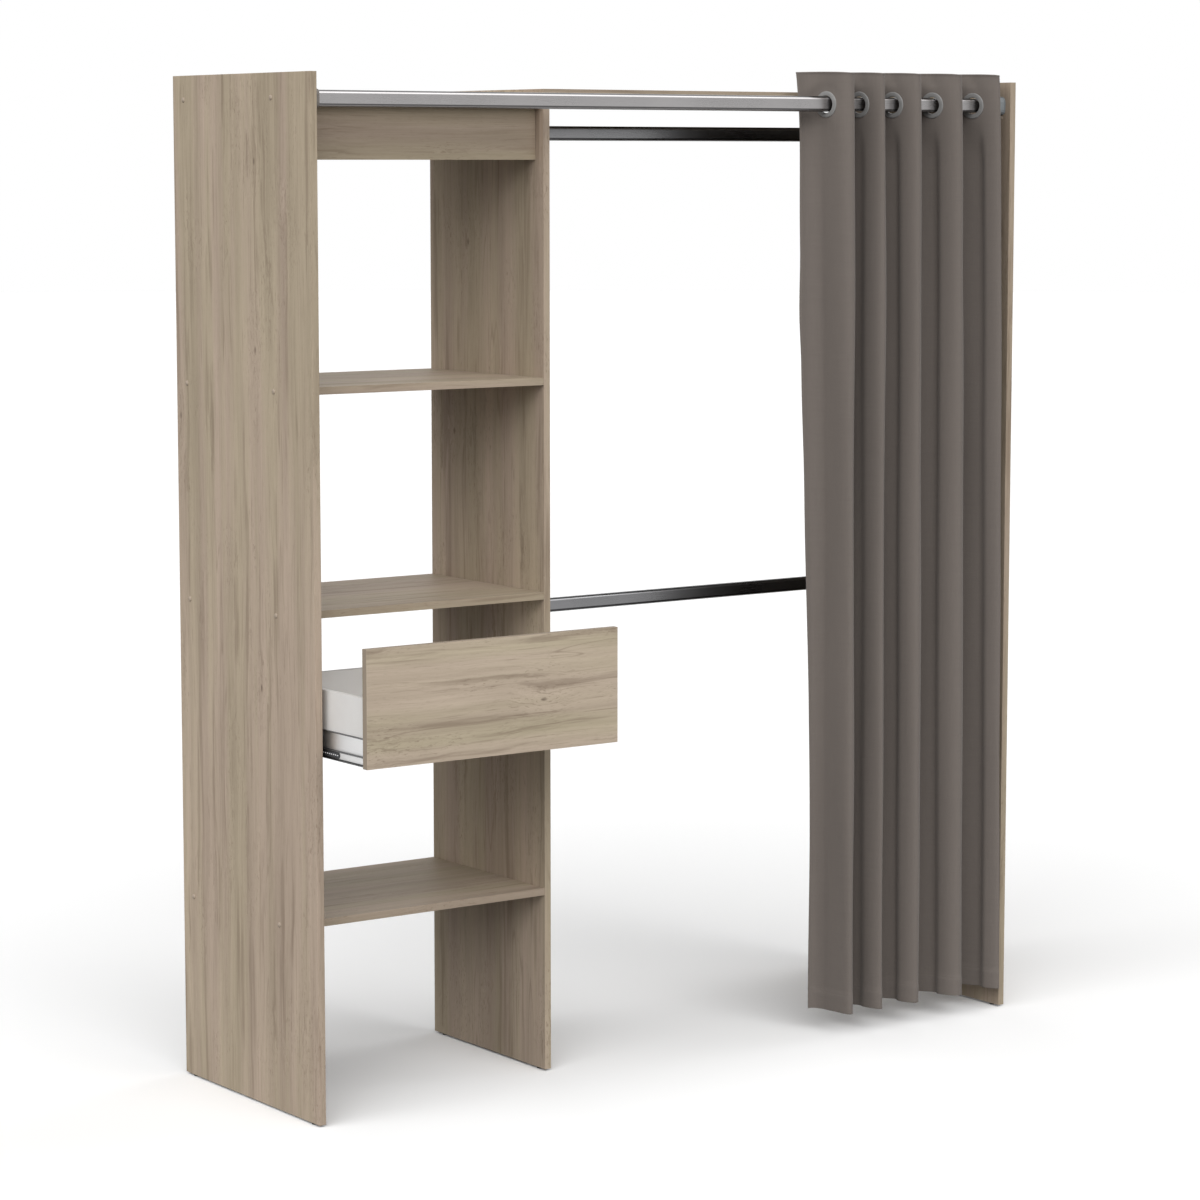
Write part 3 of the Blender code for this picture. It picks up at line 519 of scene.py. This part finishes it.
def fabric_material(name, colour):
    """Plain woven cloth: warp and weft threads, slubs, and seams along its hems."""
    material, tree, shader = new_material(name, 0.9)
    spot = new_node(tree, "ShaderNodeUVMap", uv_map="cloth").outputs[0]
    parts = new_node(tree, "ShaderNodeSeparateXYZ", {0: spot}).outputs
    across, down = parts[0], parts[1]
    wave = 2 * math.pi * THREADS
    warp = calc(tree, "SINE", calc(tree, "MULTIPLY", across, wave))
    weft = calc(tree, "SINE", calc(tree, "MULTIPLY", down, wave))
    weave = calc(tree, "MULTIPLY_ADD", calc(tree, "MULTIPLY", warp, weft), 0.5, 0.5)
    upright = cloud(
        tree, vector(tree, calc(tree, "MULTIPLY", across, 900.0),
                     calc(tree, "MULTIPLY", down, 14.0), 0.0), 3.0, 0.6,
    )
    level = cloud(
        tree, vector(tree, calc(tree, "MULTIPLY", across, 14.0),
                     calc(tree, "MULTIPLY", down, 900.0), 7.0), 3.0, 0.6,
    )
    slubs = calc(tree, "MULTIPLY", calc(tree, "ADD", upright, level), 0.5)
    tone = calc(tree, "MULTIPLY_ADD", weave, 0.35, calc(tree, "MULTIPLY", slubs, 0.65))
    darker = tuple(0.88 * c for c in colour)
    lighter = tuple(1.12 * c for c in colour)
    cloth = mixed(tree, spread(tree, tone, 0.3, 0.7), darker, lighter)

    seam = None
    for line in (TOP_HEM, CURTAIN_DROP - BOTTOM_HEM):
        off = calc(tree, "ABSOLUTE", calc(tree, "SUBTRACT", down, line))
        groove = spread(tree, off, 0.0004, 0.0016, 1.0, 0.0)
        seam = groove if seam is None else calc(tree, "MAXIMUM", seam, groove)
    dash = calc(tree, "SINE", calc(tree, "MULTIPLY", across, 2 * math.pi / STITCH_LENGTH))
    stitch = calc(tree, "MULTIPLY", seam, spread(tree, dash, -0.3, 0.2))
    cloth = mixed(tree, calc(tree, "MULTIPLY", seam, 0.10), cloth, SEAM_COLOUR)
    cloth = mixed(tree, calc(tree, "MULTIPLY", stitch, 0.15), cloth, lighter)
    tree.links.new(cloth, shader.inputs["Base Color"])
    shader.inputs["Sheen Weight"].default_value = 0.12
    shader.inputs["Sheen Roughness"].default_value = 0.5
    relief = calc(tree, "MULTIPLY_ADD", seam, -0.6, tone)
    bumped(tree, shader, relief, 0.5, 0.0004)
    return material


# Shapes


def new_piece(name, mesh, material, body, place=None, rotation=None):
    """A piece that rides on a body, with smooth shading broken at its sharp edges."""
    item = bpy.data.objects.new(name, mesh)
    bpy.context.scene.collection.objects.link(item)
    if not mesh.materials:
        mesh.materials.append(material)
    if place is not None:
        item.location = place
    if rotation is not None:
        item.rotation_euler = rotation
    mesh.shade_smooth()
    mesh.set_sharp_from_angle(angle=math.radians(SHARP_ANGLE))
    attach(item, body)
    return item


def rounded_rectangle(width, height, corner, steps=CORNER_STEPS):
    """The points of a rectangle with round corners, round its own middle."""
    points = []
    for quarter, (side, rise) in enumerate(((1, 1), (-1, 1), (-1, -1), (1, -1))):
        for step in range(steps + 1):
            angle = (quarter + step / steps) * math.pi / 2
            u = side * (width / 2 - corner) + corner * math.cos(angle)
            v = rise * (height / 2 - corner) + corner * math.sin(angle)
            points.append((u, v))
    return points


def inset(section, by):
    """A rounded section with its outline moved in."""
    depth, height, corner = section
    return (depth - 2 * by, height - 2 * by, corner - by)


def outward_mesh(name, bm):
    """The drawn mesh with its faces turned outwards."""
    bmesh.ops.recalc_face_normals(bm, faces=bm.faces)
    mesh = bpy.data.meshes.new(name)
    bm.to_mesh(mesh)
    bm.free()
    return mesh


def lofted(name, rings, closed=False):
    """A mesh through rings of points, capped at its ends unless it closes on itself."""
    bm = bmesh.new()
    loops = [[bm.verts.new(point) for point in ring] for ring in rings]
    pairs = list(zip(loops, loops[1:]))
    if closed:
        pairs.append((loops[-1], loops[0]))
    for lower, upper in pairs:
        count = len(lower)
        for i in range(count):
            j = (i + 1) % count
            bm.faces.new((lower[i], lower[j], upper[j], upper[i]))
    if not closed:
        bm.faces.new(list(reversed(loops[0])))
        bm.faces.new(loops[-1])
    return outward_mesh(name, bm)


def tube_piece(node, section, material, body):
    """A smooth drawn tube in the place of a solid one, its mouths lightly broken."""
    low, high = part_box(node)
    y = (low.y + high.y) / 2
    z = (low.z + high.z) / 2
    edge = TUBE_MOUTH_EDGE

    def ring(x, by):
        outline = rounded_rectangle(*inset(section, by))
        return [Vector((x, y + u, z + v)) for u, v in outline]

    rings = [
        ring(low.x + edge, 0.0), ring(high.x - edge, 0.0), ring(high.x, edge),
        ring(high.x, TUBE_WALL - edge), ring(high.x - edge, TUBE_WALL),
        ring(low.x + edge, TUBE_WALL), ring(low.x, TUBE_WALL - edge), ring(low.x, edge),
    ]
    item = new_piece(node + "_drawn", lofted(node, rings, closed=True), material, body)
    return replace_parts(item, node)


def turned(name, profile, sides, closed=False):
    """A profile of (radius, height) points turned round the Z axis."""
    bm = bmesh.new()
    loops = []
    for step in range(sides):
        angle = 2 * math.pi * step / sides
        loops.append([
            bm.verts.new((r * math.cos(angle), r * math.sin(angle), h)) for r, h in profile
        ])
    spans = len(profile) if closed else len(profile) - 1
    for i in range(sides):
        here, there = loops[i], loops[(i + 1) % sides]
        for k in range(spans):
            m = (k + 1) % len(profile)
            bm.faces.new((here[k], there[k], there[m], here[m]))
    bmesh.ops.remove_doubles(bm, verts=bm.verts, dist=MERGE_DISTANCE)
    return outward_mesh(name, bm)


def repaint(node, material):
    """A solid that keeps its shape and gets its own material."""
    item = NODES[node]
    item.data.materials.clear()
    item.data.materials.append(material)
    for polygon in item.data.polygons:
        polygon.material_index = 0


def soften(node, width, material):
    """A solid with its own material and its edges lightly broken."""
    repaint(node, material)
    item = NODES[node]
    weld = item.modifiers.new("Weld", "WELD")
    weld.merge_threshold = WELD_DISTANCE
    edge = item.modifiers.new("Edge", "BEVEL")
    edge.width = width
    edge.segments = 2
    edge.limit_method = "ANGLE"
    edge.angle_limit = math.radians(BROKEN_ANGLE)
    edge.harden_normals = True


# Folds of the curtain


def fold_turns(share):
    """The turns of the cloth as (x, y) points at one share of its drop, left to right."""
    ease = share ** HANG_POWER
    left = CURTAIN_LEFT + (CURTAIN_LOW_LEFT - CURTAIN_LEFT) * ease
    width = CURTAIN_WIDTH + (CURTAIN_LOW_WIDTH - CURTAIN_WIDTH) * ease
    backs = [a + (b - a) * ease for a, b in zip(BACK_FOLD_SHARES, BACK_FOLD_LOW_SHARES)]
    fronts = [a + (b - a) * ease for a, b in zip(FRONT_FOLD_SHARES, FRONT_FOLD_LOW_SHARES)]
    turns = []
    for number, back in enumerate(backs):
        turns.append((left + width * back, ROD_SETBACK + CURTAIN_BACK))
        if number < len(fronts):
            turns.append((left + width * fronts[number], ROD_SETBACK - CURTAIN_FRONT))
    return turns


def fold_point(start, end, stretch, along):
    """A point of the cloth on its way from one turn to the next; along runs from 0 to 1."""
    roundness, bow = stretch
    swing = (1 - math.cos(math.pi * along)) / 2
    drift = along + roundness * math.sin(2 * math.pi * along) / (2 * math.pi)
    x = start[0] + (end[0] - start[0]) * drift + bow * math.sin(math.pi * along)
    return (x, start[1] + (end[1] - start[1]) * swing)


def fold_line(share):
    """The plan of the folded cloth at one share of its drop."""
    turns = fold_turns(share)
    points = [turns[0]]
    for start, end, stretch in zip(turns, turns[1:], STRETCHES):
        for step in range(1, FOLD_STEPS + 1):
            points.append(fold_point(start, end, stretch, step / FOLD_STEPS))
    return points


def crossing_angles(drop_share):
    """How far the cloth's face is turned from X at each place where it crosses the rod."""
    turns = fold_turns(drop_share)
    angles = []
    for start, end, (roundness, bow) in zip(turns, turns[1:], STRETCHES):
        side = 1 if end[1] < start[1] else -1
        level = (ROD_SETBACK - start[1]) / (end[1] - start[1])
        along = math.acos(1 - 2 * level) / math.pi
        rise = (end[1] - start[1]) * math.pi * math.sin(math.pi * along) / 2
        run = (end[0] - start[0]) * (1 + roundness * math.cos(2 * math.pi * along))
        run += bow * math.pi * math.cos(math.pi * along)
        angles.append(side * math.atan2(run, abs(rise)))
    return angles


def smooth_step(value, low, high):
    """0 below the low value, 1 above the high one, and a soft passage between."""
    share = min(1.0, max(0.0, (value - low) / (high - low)))
    return share * share * (3 - 2 * share)


def crease_depth(stretch, along, below):
    """How far a crease takes the cloth back, at a place along a stretch and below the top."""
    depth = 0.0
    for number, bottom, start, most in CREASES:
        if number != stretch:
            continue
        if along <= bottom:
            share = max(0.0, (along - start) / (bottom - start)) ** CREASE_POWER
        else:
            share = 1 - smooth_step(along, bottom, bottom + CREASE_RISE)
        uneven = noise.noise(Vector((number * 3.1, below * 1.7, 0.5)))
        wander = CREASE_EVEN_SHARE + CREASE_UNEVEN_SHARE * uneven
        depth += most * share * wander * smooth_step(below, *CREASE_TOP)
    if stretch in DART_STRETCHES:
        reach = (along - DART_CENTRE) / DART_WIDTH
        depth += DART_DEPTH * math.exp(-reach * reach) * (1 - smooth_step(below, *DART_END))
    return depth


def edge_shift(below):
    """How far the free left edge lies from its plain line, at a depth below the top."""
    for (upper, here), (lower, there) in zip(EDGE_WANDER, EDGE_WANDER[1:]):
        if below <= lower:
            return here + (there - here) * smooth_step(below, upper, lower)
    return EDGE_WANDER[-1][1]


def soft_wave(x, y, below, wave):
    """How far a soft wave takes the cloth out of its fold at one place."""
    size, (across, back, down), shift = wave
    return noise.noise(Vector((x * across + shift, y * back, below * down))) * size


def cloth_rows():
    """How far below the top each row of the cloth's grid lies, close together near the rings."""
    upper_margin, lower_margin = ROW_MARGIN
    hem = CURTAIN_DROP - BOTTOM_HEM
    rows = [0.0, TOP_EDGE_ROW, TOP_HEM - SEAM_HALF, TOP_HEM + SEAM_HALF]
    rows += [TOP_HEM + upper_margin + EYELET_ROW_STEP * i for i in range(EYELET_ROWS)]
    while rows[-1] < HEADING_ROWS_END:
        rows.append(rows[-1] + HEADING_ROW_STEP)
    start = rows[-1]
    low = hem - lower_margin
    rows += [start + (low - start) * i / PLAIN_ROWS for i in range(1, PLAIN_ROWS + 1)]
    rows += [hem - SEAM_HALF, hem + SEAM_HALF]
    rows += [CURTAIN_DROP - BOTTOM_HEM * share for share in HEM_ROW_SHARES]
    return rows


def cloth_grid(rows):
    """The points of the hanging cloth, row by row from its top."""
    grid = []
    for below in rows:
        line = fold_line(below / CURTAIN_DROP)
        hang = smooth_step(below, *HANG_SPAN)
        row = []
        for column, (x, y) in enumerate(line):
            before = Vector(line[max(0, column - 1)])
            after = Vector(line[min(len(line) - 1, column + 1)])
            tangent = (after - before).normalized()
            normal = Vector((-tangent.y, tangent.x, 0.0))
            stretch = min(column // FOLD_STEPS, len(STRETCHES) - 1)
            along = column / FOLD_STEPS - stretch
            back = normal if stretch % 2 == 0 else -normal
            wave = soft_wave(x, y, below, SWAY) + soft_wave(x, y, below, RIPPLE)
            point = at(x, y, CURTAIN_TOP - below)
            point += normal * wave * hang
            point += back * crease_depth(stretch, along, below)
            if column < EDGE_REACH:
                point.x += edge_shift(below) * (1 - column / EDGE_REACH) ** 2
            lift = math.sin(math.pi * column / FOLD_STEPS + HEADING_WAVE_START)
            point.z += HEADING_WAVE * lift * (1 - smooth_step(below, 0.0, HEADING_WAVE_END))
            row.append(point)
        grid.append(row)
    return grid


def eyelet_places():
    """Each eyelet's centre, its turn from X, the way that it faces and the way beside that."""
    places = []
    angles = crossing_angles(CURTAIN_HEADING / CURTAIN_DROP)
    for number, angle in enumerate(angles, start=1):
        low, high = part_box(f"eyelet_{number}")
        facing = Euler((0, math.pi / 2, angle)).to_matrix() @ Vector((0, 0, 1))
        sideways = Vector((-facing.y, facing.x, 0.0))
        places.append(((low + high) / 2, angle, facing, sideways))
    return places


def flatten_at_eyelets(grid, eyelets):
    """Bring the cloth's points round each eyelet into that eyelet's plane."""
    for number, (centre, _, facing, sideways) in enumerate(eyelets):
        first = number * FOLD_STEPS
        for row in grid:
            for column in range(first, first + FOLD_STEPS + 1):
                offset = row[column] - centre
                reach = math.hypot(offset.dot(sideways), offset.z)
                flat = 1 - smooth_step(reach, *EYELET_FLAT_SPAN)
                if flat > 0:
                    row[column] = row[column] - facing * offset.dot(facing) * flat


def open_at_eyelets(verts, eyelets):
    """Move the points inside each eyelet out to its seat, and give back those points."""
    moved = set()
    for number, (centre, _, _, sideways) in enumerate(eyelets):
        first = number * FOLD_STEPS
        for line in verts:
            for vert in line[first:first + FOLD_STEPS + 1]:
                offset = vert.co - centre
                u, w = offset.dot(sideways), offset.z
                reach = math.hypot(u, w)
                if reach >= EYELET_SEAT_RADIUS:
                    continue
                moved.add(vert)
                if reach > EYELET_MIDDLE:
                    stretch = EYELET_SEAT_RADIUS / reach
                    vert.co = centre + sideways * u * stretch + Vector((0, 0, w * stretch))
    return moved


def flat_places(grid, verts, rows):
    """Each point's place on the flat cloth, across and down, and the flat cloth's width."""
    places = {}
    run = 0.0
    for column in range(len(grid[0])):
        if column:
            run += (grid[0][column] - grid[0][column - 1]).length
        for line, below in zip(verts, rows):
            places[line[column]] = (run, below)
    return places, run


def cloth_mesh(name, grid, rows, eyelets):
    """The cloth's mesh, the share of its thickness at each point, and its flat width."""
    bm = bmesh.new()
    verts = [[bm.verts.new(point) for point in row] for row in grid]
    places, width = flat_places(grid, verts, rows)
    moved = open_at_eyelets(verts, eyelets)
    for upper, lower in zip(verts, verts[1:]):
        for i in range(len(upper) - 1):
            corners = (upper[i], lower[i], lower[i + 1], upper[i + 1])
            if not all(vert in moved for vert in corners):
                bm.faces.new(corners)
    layer = bm.loops.layers.uv.new("cloth")
    for face in bm.faces:
        for loop in face.loops:
            loop[layer].uv = places[loop.vert]

    def thickness_share(vert):
        across, below = places[vert]
        in_level_hem = below < TOP_HEM or below > CURTAIN_DROP - BOTTOM_HEM
        in_side_hem = across < SIDE_HEM or across > width - SIDE_HEM
        return 1.0 if in_level_hem or in_side_hem else CLOTH_SINGLE_SHARE

    shares = [thickness_share(vert) for line in verts for vert in line if vert.link_faces]
    loose = [vert for vert in bm.verts if not vert.link_faces]
    bmesh.ops.delete(bm, geom=loose, context="VERTS")
    mesh = bpy.data.meshes.new(name)
    bm.to_mesh(mesh)
    bm.free()
    return mesh, shares, width


def build_rings(material, eyelets):
    """The eyelets' plastic rings, with rounded rims."""
    profile = EYELET_HALF + tuple((r, -h) for r, h in reversed(EYELET_HALF[1:]))
    mesh = turned("curtain_ring", profile, EYELET_STEPS, closed=True)
    rings = []
    for number, (centre, angle, _, _) in enumerate(eyelets, start=1):
        turn = Euler((0, math.pi / 2, angle))
        ring = new_piece(f"curtain_ring_{number}", mesh, material, "curtain", centre, turn)
        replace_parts(ring, f"eyelet_{number}")
        rings.append(ring)
    return rings


def build_curtain(material, ring_material):
    """The gathered cloth, with its hems, and the ten eyelets that it hangs from."""
    name = "curtain_gathered_cloth"
    eyelets = eyelet_places()
    rows = cloth_rows()
    grid = cloth_grid(rows)
    flatten_at_eyelets(grid, eyelets)
    mesh, shares, width = cloth_mesh(name, grid, rows, eyelets)
    cloth = new_piece(name, mesh, material, "curtain")
    mesh.set_sharp_from_angle(angle=math.pi)
    group = cloth.vertex_groups.new(name="layers")
    for index, share in enumerate(shares):
        group.add([index], share, "REPLACE")
    solid = cloth.modifiers.new("Thickness", "SOLIDIFY")
    solid.thickness = CLOTH_THICKNESS
    solid.offset = 0
    solid.vertex_group = "layers"
    solid.use_even_offset = False
    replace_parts(cloth, "curtain_cloth")
    rings = build_rings(ring_material, eyelets)


# Small pieces


def build_screws(material):
    """The domed heads of the screws through the side panels."""
    mesh = turned("screw_cap", CAP_PROFILE, CAP_SIDES)
    for prefix, count, direction in (("left_panel_screw", 8, 1), ("right_panel_screw", 2, -1)):
        for number in range(1, count + 1):
            node = f"{prefix}_{number}"
            low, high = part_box(node)
            x = 0.0 if direction == 1 else FULL_WIDTH
            centre = Vector((x - ORIGIN.x, (low.y + high.y) / 2, (low.z + high.z) / 2))
            centre.x -= direction * GAP
            turn = Euler((0, -direction * math.pi / 2, 0))
            body = "tower" if direction == 1 else "right_frame"
            piece = new_piece(node + "_cap", mesh, material, body, centre, turn)
            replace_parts(piece, node)


def build_socket_screws(head_material, recess_material):
    """The screw under each socket of the rod and the rails: a domed head with a dark disc on it as
    painted shade for its recess.
    """
    head_mesh = turned("socket_screw_head", HEAD_PROFILE, HEAD_SIDES)
    recess_mesh = turned("socket_screw_recess", RECESS_PROFILE, RECESS_SIDES)
    for name in ("curtain_rod", "upper_rail", "lower_rail"):
        for side, direction, body in (("left", 1, "tower"), ("right", -1, "right_frame")):
            low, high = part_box(f"{name}_{side}_socket")
            face = low.x - GAP if direction == 1 else high.x + GAP
            centre = Vector((face, (low.y + high.y) / 2, low.z - SCREW_DROP))
            turn = Euler((0, direction * math.pi / 2, 0))
            part = f"{name}_{side}_socket_screw"
            screw = new_piece(part, head_mesh, head_material, body, centre, turn)
            # The dark disc sits on the head, painted shade for its recess
            centre.x += direction * RECESS_LIFT
            dot = new_piece(part + "_recess", recess_mesh, recess_material, body, centre, turn)


def build_ball_cages(cage_material, ball_material):
    """The ball cage in the lower race of each of the drawer's slides, with its balls."""
    bottom, top = CAGE_LEVELS
    height = top - bottom
    level = (bottom + top) / 2
    dome = []
    for step in range(BALL_DOME_STEPS + 1):
        angle = step * math.pi / 2 / BALL_DOME_STEPS
        dome.append((BALL_RADIUS * math.cos(angle), BALL_RADIUS * math.sin(angle)))
    for side, direction in (("left", 1), ("right", -1)):
        low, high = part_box(f"slide_{side}_drawer_member")
        open_face = low.x if direction == 1 else high.x
        web = open_face + direction * CAGE_WEB
        length = high.y - CAGE_FRONT
        middle = CAGE_FRONT + length / 2
        outline = rounded_rectangle(length, height, height / 2 * CAGE_CORNER_SHARE)
        layers = (
            (0.0, 0.0), (CAGE_THICKNESS * CAGE_EDGE_SHARE, 0.0), (CAGE_THICKNESS, CAGE_EDGE),
        )
        rings = []
        for depth, by in layers:
            rings.append([
                Vector((web - direction * depth, middle + u * (1 - 2 * by / length),
                        level + v * (1 - 2 * by / height)))
                for u, v in outline
            ])
        name = f"slide_{side}_ball_cage"
        cage = new_piece(name, lofted(name, rings), cage_material, "drawer")
        mesh = turned(f"slide_{side}_ball", [(0.0, 0.0)] + dome, BALL_SIDES)
        turn = Euler((0, -direction * math.pi / 2, 0))
        x = web - direction * CAGE_THICKNESS * BALL_SEAT_SHARE
        for number in range(1, BALL_COUNT + 1):
            centre = Vector((x, CAGE_FRONT + BALL_START + BALL_PITCH * (number - 1), level))
            ball = new_piece(f"{name}_ball_{number}", mesh, ball_material, "drawer", centre, turn)


def build_feet(material):
    """Round glides with a soft edge under the panels."""
    for node in NODES:
        if not node.endswith("_foot"):
            continue
        low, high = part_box(node)
        centre = (low + high) / 2
        radius = (high.x - low.x) / 2
        top = high.z - low.z
        edge = [(radius - inwards, up) for inwards, up in GLIDE_EDGE]
        profile = [(0.0, 0.0), *edge, (radius, top), (0.0, top)]
        body = "right_frame" if node.startswith("right") else "tower"
        piece = new_piece(
            node + "_glide", turned(node, profile, GLIDE_SIDES), material, body,
            Vector((centre.x, centre.y, low.z)),
        )
        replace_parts(piece, node)


# The stage, the light and the camera


def background_rays(tree):
    """The kinds of ray, and 1 for those that see the pale background."""
    path = new_node(tree, "ShaderNodeLightPath").outputs
    seen = calc(tree, "MAXIMUM", path["Is Camera Ray"], path["Is Glossy Ray"])
    return path, calc(tree, "MAXIMUM", seen, path["Is Transmission Ray"])


def build_floor():
    """A floor that is pale to the camera and bounces little light."""
    bm = bmesh.new()
    bmesh.ops.create_circle(bm, cap_ends=True, segments=FLOOR_SIDES, radius=FLOOR_RADIUS)
    mesh = bpy.data.meshes.new("floor")
    bm.to_mesh(mesh)
    bm.free()
    floor = bpy.data.objects.new("floor", mesh)
    bpy.context.scene.collection.objects.link(floor)
    material = bpy.data.materials.new("pale_floor")
    material.use_nodes = True
    tree = material.node_tree
    tree.nodes.clear()
    _, seen = background_rays(tree)
    shown = new_node(tree, "ShaderNodeBsdfDiffuse", {"Color": FLOOR_SEEN}).outputs[0]
    bounced = new_node(tree, "ShaderNodeBsdfDiffuse", {"Color": FLOOR_BOUNCED}).outputs[0]
    both = new_node(tree, "ShaderNodeMixShader", {0: seen, 1: bounced, 2: shown}).outputs[0]
    new_node(tree, "ShaderNodeOutputMaterial", {0: both})
    mesh.materials.append(material)


def build_sky():
    """A soft sky, strongest from the left and the front, behind a plain pale background."""
    world = bpy.data.worlds.new("soft_studio")
    bpy.context.scene.world = world
    world.use_nodes = True
    tree = world.node_tree
    tree.nodes.clear()
    path, seen = background_rays(tree)
    way = new_node(tree, "ShaderNodeTexCoord").outputs["Generated"]
    height = new_node(tree, "ShaderNodeSeparateXYZ", {0: way}).outputs[2]
    sky = 0.0
    for azimuth, elevation, strength in SKY_LIGHTS:
        turn, rise = math.radians(azimuth), math.radians(elevation)
        towards = (
            math.cos(rise) * math.cos(turn), math.cos(rise) * math.sin(turn), math.sin(rise),
        )
        near = new_node(
            tree, "ShaderNodeVectorMath", {0: way, 1: towards}, operation="DOT_PRODUCT",
        ).outputs["Value"]
        near = calc(tree, "POWER", calc(tree, "MAXIMUM", near, 0.0), SKY_LIGHT_FOCUS)
        sky = calc(tree, "MULTIPLY_ADD", near, strength, sky)
    sky = calc(tree, "MULTIPLY", sky, calc(tree, "GREATER_THAN", height, 0.0))
    level = calc(tree, "MULTIPLY", sky, calc(tree, "SUBTRACT", 1.0, seen))
    level = calc(tree, "ADD", level, seen)
    glow = calc(tree, "MULTIPLY", spread(tree, height, *GLOW_START),
                spread(tree, height, *GLOW_END, 1.0, 0.0))
    glow = calc(tree, "MULTIPLY", glow, path["Is Glossy Ray"])
    level = calc(tree, "MULTIPLY_ADD", glow, GLOSS_GLOW, level)
    back = new_node(
        tree, "ShaderNodeBackground", {"Color": (1.0, 1.0, 1.0, 1.0), "Strength": level},
    ).outputs[0]
    new_node(tree, "ShaderNodeOutputWorld", {0: back})


def build_camera():
    """The camera at the photograph's place."""
    lens = bpy.data.cameras.new("camera")
    lens.sensor_width = SENSOR_WIDTH
    lens.sensor_fit = "HORIZONTAL"
    lens.lens = LENS_LENGTH
    lens.clip_start, lens.clip_end = VIEW_SPAN
    camera = bpy.data.objects.new("camera", lens)
    bpy.context.scene.collection.objects.link(camera)
    camera.location = CAMERA_PLACE
    camera.rotation_euler = (math.radians(CAMERA_RAISE), 0.0, math.radians(CAMERA_TURN))
    bpy.context.scene.camera = camera


# The scene


build_camera()
build_floor()
build_sky()
bpy.context.scene.view_settings.view_transform = "Standard"

WOOD = wood_material("oak_upright", True, (0.308, 0.247, 0.188), (0.535, 0.436, 0.343))
WOOD_ACROSS = wood_material("oak_lying", False, (0.292, 0.236, 0.178), (0.495, 0.405, 0.318))
WOOD_FRONT = wood_material(
    "oak_drawer_front", False, (0.370, 0.306, 0.230), (0.600, 0.505, 0.396), seed=0.27,
    edge=(0.300, 0.246, 0.190),
)
WHITE = white_material("white_melamine")
# The rod's and the rails' metals carry painted shade on their tubes' corners and a painted
# highlight line
GREY_TUBE = metal_material(
    "grey_metal", (0.31, 0.30, 0.30), (0.36, 0.35, 0.35), 0.26, 0.32, "x", tube=True,
)
CHROME = metal_material(
    "polished_metal", (0.19, 0.19, 0.195), (0.23, 0.23, 0.235), 0.26, 0.31, "x", tube=True,
)
ZINC = metal_material("bright_zinc", (0.60, 0.60, 0.61), (0.70, 0.70, 0.71), 0.36, 0.44, "y")
RACE = metal_material("zinc_race_painted_shade", (0.62, 0.62, 0.62), (0.74, 0.735, 0.73), 0.36, 0.44, "y")
# Painted shade in dark bands under the drawer members' lips and along their race
paint_shade_bands(RACE, PAINTED_SHADE_BANDS, (0.035, 0.037, 0.04))
CAGE = plastic_material("ball_cage", (0.035, 0.037, 0.04), 0.45)
BALL = metal_material("steel_balls", (0.50, 0.50, 0.51), (0.60, 0.60, 0.61), 0.12, 0.18, "z")
SOCKET = plastic_material("socket_plastic", (0.255, 0.280, 0.295), 0.42)
SOCKET_BROWN = plastic_material("socket_plastic_warm", (0.205, 0.185, 0.165), 0.42)
# Near black, as painted shade in the socket screws' recesses
RECESS = plastic_material("screw_recess_painted_shade", (0.03, 0.027, 0.024), 0.7)
RING = plastic_material("ring_plastic", (0.222, 0.219, 0.215), 0.34)
CAP = plastic_material("cap_plastic", (0.33, 0.268, 0.207), 0.55)
GLIDE = plastic_material("glide_plastic", (0.02, 0.02, 0.02), 0.6)
FABRIC = fabric_material("woven_taupe", (0.150, 0.128, 0.113))

for name in ("left_side_panel", "middle_panel", "right_side_panel"):
    soften(name, BOARD_EDGE, WOOD)
for name in ("top_board", "tower_top_board", "lower_shelf", "middle_shelf", "upper_shelf",
             "crosspiece"):
    soften(name, BOARD_EDGE, WOOD_ACROSS)
soften("drawer_front", BOARD_EDGE, WOOD_FRONT)
for name in ("drawer_left_side", "drawer_right_side", "drawer_back"):
    soften(name, SMALL_EDGE, WHITE)
repaint("drawer_bottom", WHITE)
for name, section, metal in (("curtain_rod", ROD_SECTION, GREY_TUBE),
                             ("upper_rail", RAIL_SECTION, CHROME),
                             ("lower_rail", RAIL_SECTION, CHROME)):
    tube_piece(name + "_outer_tube", section, metal, "tower")
    inner = inset(section, TUBE_WALL + GAP)
    tube_piece(name + "_inner_tube", inner, metal, "right_frame")
    soften(f"{name}_left_socket", SMALL_EDGE, SOCKET_BROWN)
    soften(f"{name}_right_socket", SMALL_EDGE, SOCKET)
for side in ("left", "right"):
    for member in ("cabinet", "middle", "drawer"):
        repaint(f"slide_{side}_{member}_member", RACE if member == "drawer" else ZINC)
build_ball_cages(CAGE, BALL)
build_screws(CAP)
build_socket_screws(CAP, RECESS)
build_feet(GLIDE)
build_curtain(FABRIC, RING)
